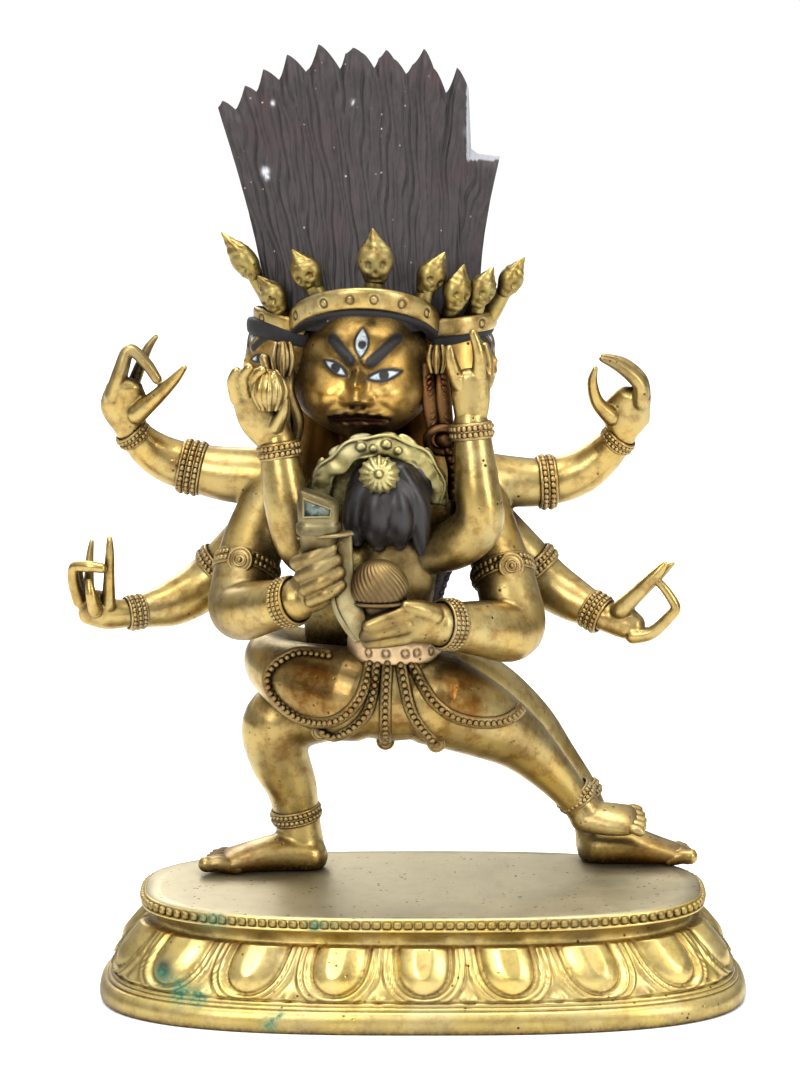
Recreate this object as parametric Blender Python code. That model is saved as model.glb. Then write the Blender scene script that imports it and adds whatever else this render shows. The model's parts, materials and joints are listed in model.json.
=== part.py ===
"""A gilt bronze figure of Hayagriva embracing his consort, on an oval lotus base.

Three castings, as a bronze founder would make them: the lotus base, the three-headed,
six-armed figure with his flaming hair, and the consort who clings to his front. The
figures are built in wax first, from limbs and balls that overlap, and each is then
fused into one skin. +X is the viewer's right, -Y the front, +Z up, and the origin is
the middle of the base's underside.
"""

import bisect
import math

import bmesh
import bpy
from mathutils import Euler, Matrix, Vector
from mathutils.bvhtree import BVHTree

# Driving sizes, in metres.
BASE_WIDTH = 0.1214  # across the foot of the base
BASE_DEPTH = 0.0616
BASE_HEIGHT = 0.0204
FOOT_HEIGHT = 0.0052  # the plain moulding below the petals
PETAL_INSET = 0.0030  # from the foot's edge to the petals' lowest line
NECK_INSET = 0.0112  # from the foot's edge to the waist above the petals
RIM_INSET = 0.0078  # from the foot's edge to the beaded rim
RIM_HEIGHT = 0.0028
PETAL_RELIEF = 0.0024
PETAL_COUNT = 18
FIGURE_HEIGHT = 0.1560  # from the soles to the highest tip of hair
GAP = 0.0003  # between one casting and the next

# The figures are laid out in units of a 156th of the height, about a millimetre.
UNIT = FIGURE_HEIGHT / 156
SOLE_LEVEL = BASE_HEIGHT + GAP
OVAL_POWER = 2.7  # 2 is an ellipse, and more is squarer

# How finely each wax is fused, and the facets that its casting keeps.
FUSE_SIZE = 0.00050
FIGURE_FACETS = 4500
CONSORT_FACETS = 2550
CUTTER_FACETS = 8000


def clear_scene():
    for thing in list(bpy.data.objects):
        bpy.data.objects.remove(thing, do_unlink=True)


def make_material(name, colour, roughness, metallic):
    material = bpy.data.materials.new(name)
    material.use_nodes = True
    shader = material.node_tree.nodes["Principled BSDF"]
    shader.inputs["Base Color"].default_value = (*colour, 1)
    shader.inputs["Roughness"].default_value = roughness
    shader.inputs["Metallic"].default_value = metallic
    return material


# Wax: closed shapes that overlap, gathered in one mesh and laid out in figure units.


def ball(wax, centre, radii, turn=(0, 0, 0), fineness=2):
    """An ellipsoid. turn is in degrees about x, y and z."""
    if isinstance(radii, (int, float)):
        radii = (radii, radii, radii)
    spin = Euler([math.radians(angle) for angle in turn]).to_matrix().to_4x4()
    matrix = Matrix.Translation(centre) @ spin @ Matrix.Diagonal((*radii, 1))
    made = bmesh.ops.create_icosphere(wax, subdivisions=fineness, radius=1, matrix=matrix)
    return made["verts"]


def smooth_path(stations, steps):
    """Rows between the stations, on a Catmull-Rom curve. It eases the radii too."""
    rows = []
    last = len(stations) - 1
    for i in range(last):
        before, here = stations[max(i - 1, 0)], stations[i]
        there, after = stations[i + 1], stations[min(i + 2, last)]
        for step in range(steps):
            t = step / steps
            rows.append([
                0.5 * (2 * b + (c - a) * t + (2 * a - 5 * b + 4 * c - d) * t * t
                       + (3 * b - a - 3 * c + d) * t ** 3)
                for a, b, c, d in zip(before, here, there, after)
            ])
    rows.append(list(stations[last]))
    return rows


def ring(wax, centre, side, up, across, thick, count):
    points = []
    for i in range(count):
        angle = 2 * math.pi * i / count
        points.append(wax.verts.new(
            centre + side * across * math.cos(angle) + up * thick * math.sin(angle)))
    return points


def limb(wax, stations, sides=10, steps=3, up=None):
    """A limb with round ends through stations of x, y, z and radius.

    With up, a station's fifth number is its half thickness along up, and the fourth is
    its half width.
    """
    rows = smooth_path(stations, steps)
    centres = [Vector(row[:3]) for row in rows]
    widths = [max(row[3], 0.05) for row in rows]
    thicks = [max(row[4], 0.05) if up else row[3] for row in rows]
    tangents = []
    for i in range(len(rows)):
        ahead, behind = centres[min(i + 1, len(rows) - 1)], centres[max(i - 1, 0)]
        tangents.append((ahead - behind).normalized())
    raised = Vector(up) if up else tangents[0].orthogonal()
    rings = []
    for i, tangent in enumerate(tangents):
        side = tangent.cross(raised).normalized()
        over = side.cross(tangent)
        if not up:
            raised = over
        spots = [(centres[i], 1.0)]
        if i == 0:
            spots = end_spots(centres[i], -tangent, widths[i], thicks[i])[::-1] + spots
        if i == len(rows) - 1:
            spots = spots + end_spots(centres[i], tangent, widths[i], thicks[i])
        for centre, share in spots:
            rings.append(ring(wax, centre, side, over,
                              widths[i] * share, max(thicks[i] * share, 0.05), sides))
    for near, far in zip(rings, rings[1:]):
        for i in range(sides):
            j = (i + 1) % sides
            wax.faces.new((near[j], near[i], far[i], far[j]))
    wax.faces.new(rings[0])
    wax.faces.new(rings[-1][::-1])


def end_spots(centre, outward, width, thick):
    """Where the rings of a rounded end stand, and how wide each is."""
    reach = min(width, thick)
    angles = (30, 58, 82)
    return [(centre + outward * reach * math.sin(math.radians(a)), math.cos(math.radians(a)))
            for a in angles]


def dent(verts, spot, width, depth, toward):
    """Pushes the points near spot in towards a centre, as a thumb does in wax."""
    for vert in verts:
        away = (vert.co - Vector(spot)).length / width
        if away < 2:
            pull = (Vector(toward) - vert.co).normalized()
            vert.co += pull * depth * math.exp(-away * away * 2)


# The main figure. Stations are x, y, z and radius in figure units, z from the soles.

TORSO = [
    (-8.6, 13, 75.5, 16.0, 6.5),
    (-8.8, 13, 67.8, 15.4, 8.0),
    (-9.4, 13, 56.4, 13.6, 8.0),
    (-9.0, 14, 44.6, 13.2, 8.6),
    (-7.1, 15, 34.7, 13.3, 8.8),
]
NECK = [(-9.6, 13, 76.0, 6.4), (-10.3, 11, 84.0, 5.0)]

HIS_ARMS = {
    "right_front": [(-27.4, 13, 72.6, 5.6), (-31.4, 8, 64, 5.9), (-33.6, 3, 56.3, 5.9),
                    (-34.0, -1, 52.4, 5.6), (-29.7, -7, 54.0, 5.0), (-23.4, -13, 56.6, 4.0)],
    "left_front": [(9.8, 13, 71.7, 5.6), (13.3, 8, 63, 5.4), (15.8, 3, 55.4, 5.7),
                   (16.7, -1, 48.8, 5.8), (10.5, -7, 50.1, 5.2), (3.2, -13, 52.0, 4.0)],
    "right_upper": [(-24, 14, 75.0, 5.6), (-35.4, 16, 75.0, 5.3), (-43.5, 17, 76.3, 4.6),
                    (-48.1, 17, 77.7, 4.3), (-51.9, 16, 80.3, 3.7), (-55.2, 14, 84.2, 2.7)],
    "left_upper": [(7.0, 14, 74.8, 5.6), (15.7, 16, 73.8, 4.9), (23.3, 17, 73.5, 4.5),
                   (29.3, 17, 75.2, 4.3), (34.1, 16, 79.0, 3.7), (37.4, 14, 83.1, 2.7)],
    "right_lower": [(-26.0, 16, 70.5, 4.8), (-34.8, 18, 61.0, 4.4), (-40.8, 18, 54.2, 4.8),
                    (-46.7, 16, 50.7, 4.5), (-51.5, 14, 49.6, 3.5), (-55.6, 12, 49.2, 2.7)],
    "left_lower": [(9.4, 16, 69.5, 4.8), (18.2, 18, 60.4, 4.4), (23.4, 18, 54.3, 4.7),
                   (28.4, 15.5, 51.2, 4.2), (34.4, 12, 48.6, 2.9)],
}

HIS_LEGS = {
    "bent": [(-13.8, 15, 34, 9.2), (-21.4, 13.5, 31.3, 7.8), (-27.8, 11, 28.3, 6.4),
             (-27.3, 12, 21.8, 5.8), (-25.0, 13, 15.7, 4.9), (-23.9, 13.6, 9.6, 4.3),
             (-23.2, 13.6, 3.9, 4.5)],
    "straight": [(0.5, 15, 36, 8.8), (11, 17.5, 32.8, 7.2), (19.6, 19, 26.7, 5.4),
                 (25.6, 19.3, 19.6, 4.1), (30.2, 19.3, 13.3, 3.4), (32.5, 19.3, 7.4, 3.6),
                 (33.6, 19.3, 2.8, 4.2)],
}

# A foot runs from heel to toes: x, y, z, half width and half height.
HIS_FEET = {
    "bent": [(-21.8, 12.6, 2.2, 4.4, 3.8), (-26.5, 12.0, 2.8, 4.6, 3.8),
             (-31.5, 11.4, 2.4, 5.0, 3.0), (-36.4, 11, 1.6, 5.4, 2.2)],
    "straight": [(34.0, 18.4, 2.4, 4.8, 4.4), (39.2, 17.8, 2.8, 4.8, 3.8),
                 (44.4, 17.2, 2.0, 4.8, 2.8), (48.4, 17, 1.4, 4.6, 2.0)],
}
TOE_COUNT = 5

# Hands: digits as stations from the wrist, in figure units.
HANDS = {
    "right_upper": {
        "wrist": (-55.2, 14, 84.2),
        "palm": [(0, 0, 0, 2.8, 2.6), (-0.6, -1, 4.2, 4.6, 2.4), (-0.6, -2, 7.8, 3.6, 2.2)],
        "digits": [
            [(-2.8, -2.6, 6.4, 1.6), (-1.2, -3.2, 11.4, 1.4), (0.4, -3.2, 15.2, 1.1),
             (3.4, -3.6, 12.8, 1.0), (5.6, -3.8, 9.8, 1.0)],
            [(-2.4, -0.6, 6.6, 1.6), (-1.0, -0.8, 11.6, 1.4), (0.5, -0.8, 15.0, 1.1),
             (3.5, -1.2, 12.6, 1.0), (5.4, -1.6, 9.6, 1.0)],
            [(0.8, 1.0, 8.0, 1.3), (3.4, 2.0, 14.4, 0.9), (5.2, 2.2, 17.0, 0.5)],
            [(1.8, -2.8, 3.2, 2.0), (5.6, -4.4, 6.6, 1.5), (8.8, -5.4, 9.8, 1.1),
             (10.8, -6.0, 12.2, 0.6)],
        ],
    },
    "left_upper": {
        "wrist": (37.4, 14, 83.1),
        "palm": [(0, 0, 0, 2.8, 2.6), (0.6, -1, 3.6, 4.6, 2.4), (1.8, -2, 6.8, 3.6, 2.3)],
        "digits": [
            [(3.2, -3.8, 6.6, 1.5), (2.9, -4.6, 10.0, 1.4), (-0.4, -5.4, 13.2, 1.2),
             (-4.2, -6.0, 15.0, 0.6)],
            [(3.8, -2.0, 6.6, 1.5), (3.2, -2.6, 10.6, 1.4), (0.0, -3.2, 13.8, 1.1),
             (-3.8, -3.8, 15.2, 0.6)],
            [(3.6, 0.0, 6.4, 1.4), (2.4, -0.4, 11.0, 1.2), (-1.0, -1.0, 13.4, 0.7)],
            [(-2.4, -3.0, 3.8, 1.7), (-5.0, -4.4, 6.8, 1.3), (-5.9, -5.2, 10.4, 1.0),
             (-5.4, -5.8, 13.2, 0.5)],
        ],
    },
    "right_lower": {
        "wrist": (-55.6, 12, 49.2),
        "palm": [(0, 0, 0, 2.7, 2.5), (-3.8, -1.4, 0.2, 3.0, 2.8), (-6.4, -2.2, 1.6, 3.6, 2.6)],
        "digits": [
            [(-3.4, -3.6, 2.4, 1.4), (-3.2, -4, 7.4, 1.1), (-3.0, -4.2, 12.0, 0.9),
             (-3.0, -4.2, 15.0, 0.6)],
            [(-8.8, -3, 3.0, 1.4), (-9.8, -3.6, 6.6, 1.2), (-9.6, -4.4, 9.6, 1.1),
             (-7.0, -6, 10.1, 1.1), (-4.4, -6.2, 9.8, 1.0)],
            [(-8.4, -1, 3.0, 1.3), (-9.2, -1.2, 6.8, 1.1), (-8.8, -2, 9.2, 1.0),
             (-6.2, -3.8, 9.7, 1.0)],
            [(-7.4, 1, 4.6, 1.1), (-7.2, 1.8, 10.2, 0.8), (-6.8, 2, 13.4, 0.5)],
            [(-5.8, -5, 1.6, 1.4), (-6.4, -6.4, 4.6, 1.1), (-6.8, -6, 7.2, 0.8)],
        ],
    },
    "left_lower": {
        "wrist": (34.4, 12, 48.6),
        "palm": [(0, 0, 0, 2.9, 2.6), (3.0, -1.2, -0.6, 3.2, 2.6), (5.0, -2, -1.6, 2.8, 2.4)],
        "digits": [
            [(5.2, -3.2, -3.0, 1.7), (8.6, -4.4, -2.2, 1.3), (11.8, -5.2, 1.0, 1.1),
             (12.9, -5.4, 2.8, 1.0), (11.2, -5.2, 5.8, 0.9), (9.4, -4.8, 7.8, 0.8)],
            [(2.8, -3.0, 2.0, 1.9), (6.2, -4.0, 5.6, 1.5), (9.2, -4.8, 9.0, 1.1),
             (10.8, -5.2, 11.0, 0.6)],
            [(3.2, -0.8, 1.8, 1.7), (7.2, -1.4, 5.6, 1.3), (10.4, -2.2, 8.8, 1.0),
             (12.4, -2.8, 10.6, 0.5)],
        ],
    },
    "right_front": {
        "wrist": (-23.4, -13, 56.6),
        "palm": [(0, 0, 0, 3.2, 3.0), (3.4, -1.6, 2.6, 4.4, 2.8), (5.4, -1.6, 5.6, 4.4, 2.8)],
        "digits": [
            [(0.4, -4.2, 7.6, 1.4), (3.2, -6.2, 9.0, 1.4), (6.6, -5.2, 10.6, 1.3)],
            [(1.2, -4.6, 5.2, 1.4), (4.0, -6.8, 6.8, 1.4), (7.4, -5.6, 8.4, 1.3)],
            [(2.0, -4.6, 2.8, 1.4), (4.8, -6.8, 4.6, 1.4), (8.0, -5.4, 6.0, 1.3)],
            [(3.0, -4.2, 0.6, 1.3), (5.6, -6.2, 2.2, 1.3), (8.4, -5.0, 3.6, 1.2)],
            [(2.0, 0.6, 8.6, 1.5), (5.0, -1.4, 11.4, 1.3), (8.4, -3.6, 11.4, 1.1)],
        ],
    },
    "left_front": {
        "wrist": (3.2, -13, 52.0),
        "palm": [(0, 0, 0, 3.4, 3.2), (-4.4, -2.4, -1.2, 4.2, 3.0), (-8.6, -3.8, -2.2, 3.8, 2.4)],
        "digits": [
            [(-8.6, -6.4, -1.4, 1.4), (-12.4, -7.4, -0.8, 1.3), (-15.6, -7.4, 1.2, 1.0)],
            [(-9.0, -4.8, -2.4, 1.4), (-13.2, -5.2, -2.4, 1.3), (-16.6, -5, -0.6, 1.0)],
            [(-9.0, -2.4, -2.8, 1.4), (-13.0, -2.4, -3.0, 1.3), (-16.4, -2.4, -1.6, 1.0)],
            [(-2.6, -5.2, 1.6, 1.5), (-5.8, -6.4, 2.6, 1.2), (-8.6, -7.0, 3.4, 0.9)],
        ],
    },
    "her_left": {
        "wrist": (-26.7, -5, 84.4),
        "palm": [(0, 0, 0, 3.2, 2.8), (-2.8, -0.6, 4.4, 4.2, 2.4), (-4.0, -1, 8.0, 4.2, 2.2)],
        "digits": [
            [(-7.4, -1.2, 8.2, 1.3), (-8.0, -2.2, 11.4, 1.2), (-7.4, -3.4, 13.6, 0.9)],
            [(-5.4, -1.6, 8.4, 1.3), (-6.0, -3.0, 12.2, 1.2), (-5.0, -4.4, 14.4, 0.9)],
            [(-3.2, -1.8, 8.4, 1.3), (-3.8, -3.4, 12.2, 1.2), (-2.6, -4.8, 14.0, 0.9)],
            [(-1.2, -1.8, 8.0, 1.2), (-1.4, -3.6, 11.4, 1.1), (-0.6, -4.8, 13.0, 0.8)],
            [(-0.4, -2.2, 3.2, 1.4), (1.0, -3.4, 6.0, 1.1), (1.4, -4.0, 8.4, 0.8)],
        ],
    },
    "her_right": {
        "wrist": (8.7, -5, 87.9),
        "palm": [(0, 0, 0, 2.8, 2.6), (0, -0.4, 4.4, 3.5, 2.2), (0, -0.6, 8.4, 3.4, 2.0)],
        "digits": [
            [(-2.2, -1.2, 7.4, 1.4), (-3.5, -1.8, 11.2, 1.2), (-4.0, -2, 14.0, 0.9)],
            [(1.4, -1.2, 9.2, 1.4), (1.4, -2, 13.2, 1.2), (0.3, -2.2, 17.0, 0.8)],
            [(2.8, 0.4, 7.4, 1.3), (3.0, 0.8, 11.0, 1.2), (2.4, 0.2, 14.2, 0.9)],
        ],
    },
}

HEAD_CENTRE = (-10.8, 6.5, 95.4)
HEAD_RADIUS = 12.8
SIDE_HEADS = {"right": (-24.6, 12.5, 97.4, -68), "left": (5.0, 12.5, 97.4, 70)}
SIDE_HEAD_RADIUS = 9.4


def add_foot(wax, stations, toward):
    """A bare foot with five toes. toward is 1 for toes at +X and -1 for toes at -X."""
    limb(wax, stations, up=(0, 0, 1))
    x, y, z, width, height = stations[-1]
    for i in range(TOE_COUNT):
        across = 1 - 2 * (i + 0.5) / TOE_COUNT
        big = i == TOE_COUNT - 1
        radius = 1.55 if big else 1.15
        reach = 2.6 + 2.0 * i / (TOE_COUNT - 1)
        toe_y = y + across * width * 0.86
        limb(wax, [(x, toe_y, z + 0.4, radius), (x + toward * reach, toe_y, z - 0.2, radius * 0.9)])


def add_hand(wax, hand):
    """A palm and its digits, all measured from the wrist."""
    wrist = hand["wrist"]
    shifted = [[a + b for a, b in zip(station[:3], wrist)] + list(station[3:])
               for station in hand["palm"]]
    limb(wax, shifted, up=(0, -1, 0.1))
    for digit in hand["digits"]:
        limb(wax, [[a + b for a, b in zip(station[:3], wrist)] + [station[3]]
                   for station in digit], sides=8)


def add_bangle(wax, centre, along, radius, bead=0.9, rows=2):
    """A ring of metal round a limb, one raised roll for each row of its beads."""
    axis = Vector(along).normalized()
    side = axis.orthogonal().normalized()
    over = axis.cross(side)
    for row in range(rows):
        middle = Vector(centre) + axis * bead * 1.7 * (row - (rows - 1) / 2)
        loop = []
        count = 14
        for i in range(count + 1):
            angle = 2 * math.pi * i / count
            spot = middle + (side * math.cos(angle) + over * math.sin(angle)) * radius
            loop.append((*spot, bead))
        limb(wax, loop, sides=6, steps=1)


def head_place(centre, radius, yaw):
    """Takes a point in shares of the head's radius, seen from its own front, to the figure."""
    turn = Matrix.Rotation(math.radians(yaw), 3, "Z")

    def place(x, y, z):
        return Vector(centre) + turn @ (Vector((x, y, z)) * radius)

    return place


def add_head(wax, centre, radius, yaw):
    """A round wrathful head: full cheeks, three eyes, knitted brows, a short broad nose."""
    place = head_place(centre, radius, yaw)

    def knob(spot, radii, tilt=0):
        ball(wax, place(*spot), [share * radius for share in radii], (0, tilt, yaw))

    def roll(*stations):
        limb(wax, [(*place(x, y, z), share * radius) for x, y, z, share in stations], sides=6)

    knob((0, 0, 0.02), (0.98, 0.94, 0.94))
    knob((0, 0.06, 0.62), (1.0, 0.96, 0.72))
    knob((0, -0.20, -0.50), (0.68, 0.62, 0.44))
    knob((0, -0.66, -0.86), (0.28, 0.22, 0.16))
    for side in (-1, 1):
        knob((side * 0.50, -0.58, -0.20), (0.42, 0.34, 0.34))
        knob((side * 0.34, -0.86, 0.15), (0.20, 0.09, 0.10), side * 8)
        roll((side * 0.12, -0.94, 0.28, 0.08), (side * 0.32, -0.90, 0.44, 0.10),
             (side * 0.52, -0.78, 0.58, 0.06))
        knob((side * 0.14, -1.00, -0.20), (0.11, 0.10, 0.09))
        knob((side * 1.0, 0.10, -0.10), (0.10, 0.20, 0.34))
    roll((0, -0.93, 0.16, 0.08), (0, -1.03, -0.06, 0.10), (0, -1.05, -0.18, 0.12))
    knob((0, -0.86, 0.56), (0.09, 0.08, 0.16))
    roll((-0.44, -0.72, -0.52, 0.06), (0, -0.92, -0.44, 0.09), (0.44, -0.72, -0.52, 0.06))
    roll((-0.30, -0.72, -0.68, 0.05), (0, -0.84, -0.64, 0.08), (0.30, -0.72, -0.68, 0.05))


def add_skull(wax, centre, radius, lean, root):
    """A crown leaf: a small skull with hollow eyes under a pointed jewel, on a stem."""
    turn = Matrix.Rotation(math.radians(lean), 3, "Y")
    middle = Vector(centre)
    limb(wax, [(*root, 1.3), (*middle, 1.5)], sides=8)
    verts = ball(wax, middle, (radius, radius * 0.85, radius * 1.15), (0, lean, 0), 3)
    for side in (-1, 1):
        spot = middle + turn @ Vector((side * 0.45, -0.80, -0.05)) * radius
        dent(verts, spot, radius * 0.42, radius * 0.5, middle)
    tip = middle + turn @ Vector((0, 0, radius * 2.2))
    shoulder = middle + turn @ Vector((0, 0, radius * 0.8))
    limb(wax, [(*shoulder, radius * 0.74), (*((shoulder + tip) / 2), radius * 0.52),
               (*tip, radius * 0.14)], sides=8)


def add_band(wax, centre, radius, yaw, foot, arch):
    """A diadem's band over the brow, from foot at the temples up to foot + arch."""
    place = head_place(centre, radius, yaw)
    band = []
    for i in range(9):
        angle = (i / 4 - 1) * math.radians(84)
        spot = place(math.sin(angle) * 1.05, -math.cos(angle) * 0.98,
                     foot + arch * math.cos(angle))
        band.append((*spot, 0.10 * radius, 0.14 * radius))
    limb(wax, band, sides=8, up=(0, 0, 1))


# The skulls of the three diadems: x, y, z, radius, lean in degrees, and the stem's root.
CROWN_SKULLS = [
    (-9.2, 0.0, 117.6, 3.3, 2, (-9.4, 0, 110)),
    (-21.0, 3.5, 115.0, 3.1, -32, (-18, 3, 109)),
    (2.1, 3.5, 114.6, 3.1, 20, (-1.5, 3, 109)),
    (-32.4, 8, 115.2, 2.4, -27, (-28, 9, 104)),
    (-27.4, 5, 110.8, 2.2, -32, (-25, 8, 103)),
    (5.8, 3.5, 111.0, 2.6, 14, (4.5, 8, 103)),
    (10.8, 6, 111.2, 2.5, 12, (8.5, 9, 103)),
    (15.4, 9, 112.8, 2.3, 30, (10, 11, 104)),
]


# Hair: the fan's outline from its left foot over the flame tips to the broken right side.
# x and z in figure units.
HAIR_ROOT = [(-28.4, 104.0), (10.6, 104.0)]
HAIR_CREST = [
    (-38.0, 144.3), (-37.2, 145.5), (-34.8, 143.9), (-33.0, 148.3), (-30.9, 147.2),
    (-29.6, 151.3), (-26.7, 149.4), (-25.2, 154.0), (-21.7, 150.9), (-21.2, 151.4),
    (-19.4, 155.9), (-15.4, 151.4), (-14.4, 154.2), (-13.0, 155.3), (-11.4, 154.4),
    (-9.1, 151.6), (-8.2, 153.4), (-6.9, 154.9), (-5.4, 153.2), (-3.2, 150.5),
    (-2.0, 152.2), (0.1, 155.1), (2.0, 151.4), (4.2, 147.0), (6.2, 151.6), (8.4, 147.8),
    (8.9, 136.6), (10.2, 135.7), (14.2, 135.2),
]
HAIR_ROWS = 9
HAIR_MIDDLE = 13.6  # the fan's plane, along y
HAIR_THICK = (3.6, 1.5)  # half thickness at the root and at the crest
HAIR_SWELL = 10.0  # how far the hair over the brow stands in front of the fan
HAIR_PART = 0.46  # where that swell is greatest, as a share across the fan
LOCK_PITCH = 5.4  # across one lock of hair, at the crest
COLUMN_WIDTH = 1.3  # at most, between one column of the fan's points and the next


def hair_half_thickness(share, x):
    """Half the fan's thickness, with a groove between each lock and the next."""
    body = HAIR_THICK[0] + (HAIR_THICK[1] - HAIR_THICK[0]) * share
    groove = 0.5 - 0.5 * math.cos(2 * math.pi * (x + 2.2 * math.sin(3 * share)) / LOCK_PITCH)
    return body - 0.75 * (1 - groove) * (0.35 + 0.65 * share)


def hair_columns():
    """The crest's points, with more between those that stand far apart."""
    columns = [HAIR_CREST[0]]
    for (x0, z0), (x1, z1) in zip(HAIR_CREST, HAIR_CREST[1:]):
        count = max(1, math.ceil(abs(x1 - x0) / COLUMN_WIDTH))
        columns += [(x0 + (x1 - x0) * i / count, z0 + (z1 - z0) * i / count)
                    for i in range(1, count + 1)]
    return columns


def add_hair(wax):
    """The fan of flaming hair, one closed sheet of locks with a flat root."""
    crest = hair_columns()
    left, right = crest[0][0], crest[-1][0]
    fronts, backs = [], []
    for crest_x, crest_z in crest:
        across = (crest_x - left) / (right - left)
        root_x = HAIR_ROOT[0][0] + across * (HAIR_ROOT[1][0] - HAIR_ROOT[0][0])
        front, back = [], []
        for row in range(HAIR_ROWS + 1):
            share = row / HAIR_ROWS
            bow = math.sin(math.pi * share) * (0.6 - 1.6 * across)
            x = root_x + (crest_x - root_x) * share ** 1.15 + bow
            z = HAIR_ROOT[0][1] + (crest_z - HAIR_ROOT[0][1]) * share
            half = hair_half_thickness(share, crest_x)
            if row == HAIR_ROWS:
                half *= 0.5
            brow = max(0.0, 1 - ((across - HAIR_PART) / 0.5) ** 2)
            swell = HAIR_SWELL * brow * (1 - share) ** 2.2
            front.append(wax.verts.new((x, HAIR_MIDDLE - half - swell, z)))
            back.append(wax.verts.new((x, HAIR_MIDDLE + half * 0.8, z)))
        fronts.append(front)
        backs.append(back)
    for i in range(len(crest) - 1):
        for row in range(HAIR_ROWS):
            wax.faces.new((fronts[i][row], fronts[i + 1][row],
                           fronts[i + 1][row + 1], fronts[i][row + 1]))
            wax.faces.new((backs[i + 1][row], backs[i][row],
                           backs[i][row + 1], backs[i + 1][row + 1]))
        wax.faces.new((fronts[i][-1], fronts[i + 1][-1], backs[i + 1][-1], backs[i][-1]))
        wax.faces.new((fronts[i + 1][0], fronts[i][0], backs[i][0], backs[i + 1][0]))
    for row in range(HAIR_ROWS):
        wax.faces.new((fronts[0][row], fronts[0][row + 1], backs[0][row + 1], backs[0][row]))
        wax.faces.new((fronts[-1][row + 1], fronts[-1][row], backs[-1][row], backs[-1][row + 1]))


def add_chopper(wax):
    """The flaying knife in his front right hand: a capped handle and a curved blade."""
    limb(wax, [(-19.4, -17, 74.6, 3.1), (-19.2, -17, 71.0, 3.3), (-18.6, -17, 66.6, 2.6)], sides=8)
    limb(wax, [(-14.0, -16.4, 68.6, 1.4, 0.9), (-12.6, -16.6, 62.0, 2.0, 0.9),
               (-11.2, -17.6, 55.6, 2.6, 0.9), (-10.2, -18, 50.8, 1.6, 0.8)], up=(0, -1, 0))
    limb(wax, [(-17.0, -17, 64.6, 1.2), (-16.2, -18, 57.6, 1.0), (-14.2, -19, 52.0, 0.9),
               (-11.4, -19, 49.4, 0.9)], sides=8)


def add_skull_cup(wax):
    """The skull cup on his front left hand, heaped with a ribbed offering."""
    ball(wax, (-7.6, -16.6, 56.0), (4.8, 4.6, 3.4))
    ball(wax, (-7.6, -16.6, 57.2), (5.8, 5.4, 1.3))
    ball(wax, (-7.6, -16.6, 60.4), (5.2, 4.8, 6.2))


def his_wax():
    """Everything cast in one with the main figure."""
    wax = bmesh.new()
    limb(wax, TORSO, sides=16, up=(0, -1, 0))
    limb(wax, NECK)
    ball(wax, (-8, 15, 34), (13.6, 9, 8))
    for name, stations in HIS_ARMS.items():
        limb(wax, stations, sides=12)
        add_hand(wax, HANDS[name])
    for name, stations in HIS_LEGS.items():
        limb(wax, stations, sides=12)
        add_foot(wax, HIS_FEET[name], 1 if name == "straight" else -1)
    add_his_bangles(wax)
    add_his_heads(wax)
    add_hair(wax)
    add_ribbons(wax)
    add_chopper(wax)
    add_skull_cup(wax)
    limb(wax, [(5, 9, 45, 1.8), (12.4, 9, 43.0, 2.0), (19.2, 10.5, 37.4, 2.1)])
    return wax


def add_his_bangles(wax):
    add_bangle(wax, (-32.9, 5, 59.2), (-0.25, -0.5, -0.8), 5.9)
    add_bangle(wax, (14.9, 5, 58.4), (0.25, -0.5, -0.8), 5.6)
    add_bangle(wax, (-24.6, -12, 56.0), (0.75, -0.6, 0.3), 4.3)
    add_bangle(wax, (4.4, -12, 51.8), (-0.78, -0.6, 0.15), 4.4)
    add_bangle(wax, (-43.5, 17, 76.3), (-1, 0.1, 0.2), 4.7)
    add_bangle(wax, (23.3, 17, 73.5), (1, 0.1, 0.05), 4.6)
    add_bangle(wax, (-38.6, 18, 57.0), (-0.7, 0.1, -0.75), 4.6)
    add_bangle(wax, (21.2, 18, 57.4), (0.62, 0, -0.75), 4.5)
    add_bangle(wax, (-54.4, 14.4, 83.0), (-0.6, -0.3, 0.8), 2.9, 0.8)
    add_bangle(wax, (36.6, 14.4, 82.0), (0.6, -0.3, 0.8), 2.9, 0.8)
    add_bangle(wax, (-54.2, 12.6, 49.3), (-1, -0.4, -0.1), 2.9, 0.8)
    add_bangle(wax, (33.2, 12.8, 49.0), (0.85, -0.4, -0.45), 3.1, 0.8)
    add_bangle(wax, (-24.1, 13.6, 10.6), (0.2, 0.1, -1), 4.4)
    add_bangle(wax, (30.6, 19.3, 12.6), (0.5, 0, -0.85), 3.4)


def add_his_heads(wax):
    add_head(wax, HEAD_CENTRE, HEAD_RADIUS, -6)
    add_band(wax, HEAD_CENTRE, HEAD_RADIUS, -2, 0.70, 0.58)
    for x, y, z, yaw in SIDE_HEADS.values():
        add_head(wax, (x, y, z), SIDE_HEAD_RADIUS, yaw)
        add_band(wax, (x, y, z), SIDE_HEAD_RADIUS, yaw, 0.72, 0.20)
    for x, y, z, radius, lean, root in CROWN_SKULLS:
        add_skull(wax, (x, y, z), radius, lean, root)


def add_ribbons(wax):
    """His hair down the back, with ear jewels and the ribbons that fall from them."""
    limb(wax, [(-9.5, 16, 98, 12, 5), (-9.0, 16.5, 87, 13, 4.5), (-8.8, 17, 77, 13, 4.5)],
         up=(0, -1, 0))
    for side, middle in ((-1, -24.6), (1, 3.0)):
        ball(wax, (middle, 0.5, 99.4), (1.6, 1.6, 2.6))
        limb(wax, [(middle, 2, 98, 1.8), (middle + side * 0.6, 1.6, 90, 2.2),
                   (middle + side * 1.2, 3, 83, 2.4), (middle + side * 2.4, 5, 76, 2.2)])


# The consort, seen from behind.

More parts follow.
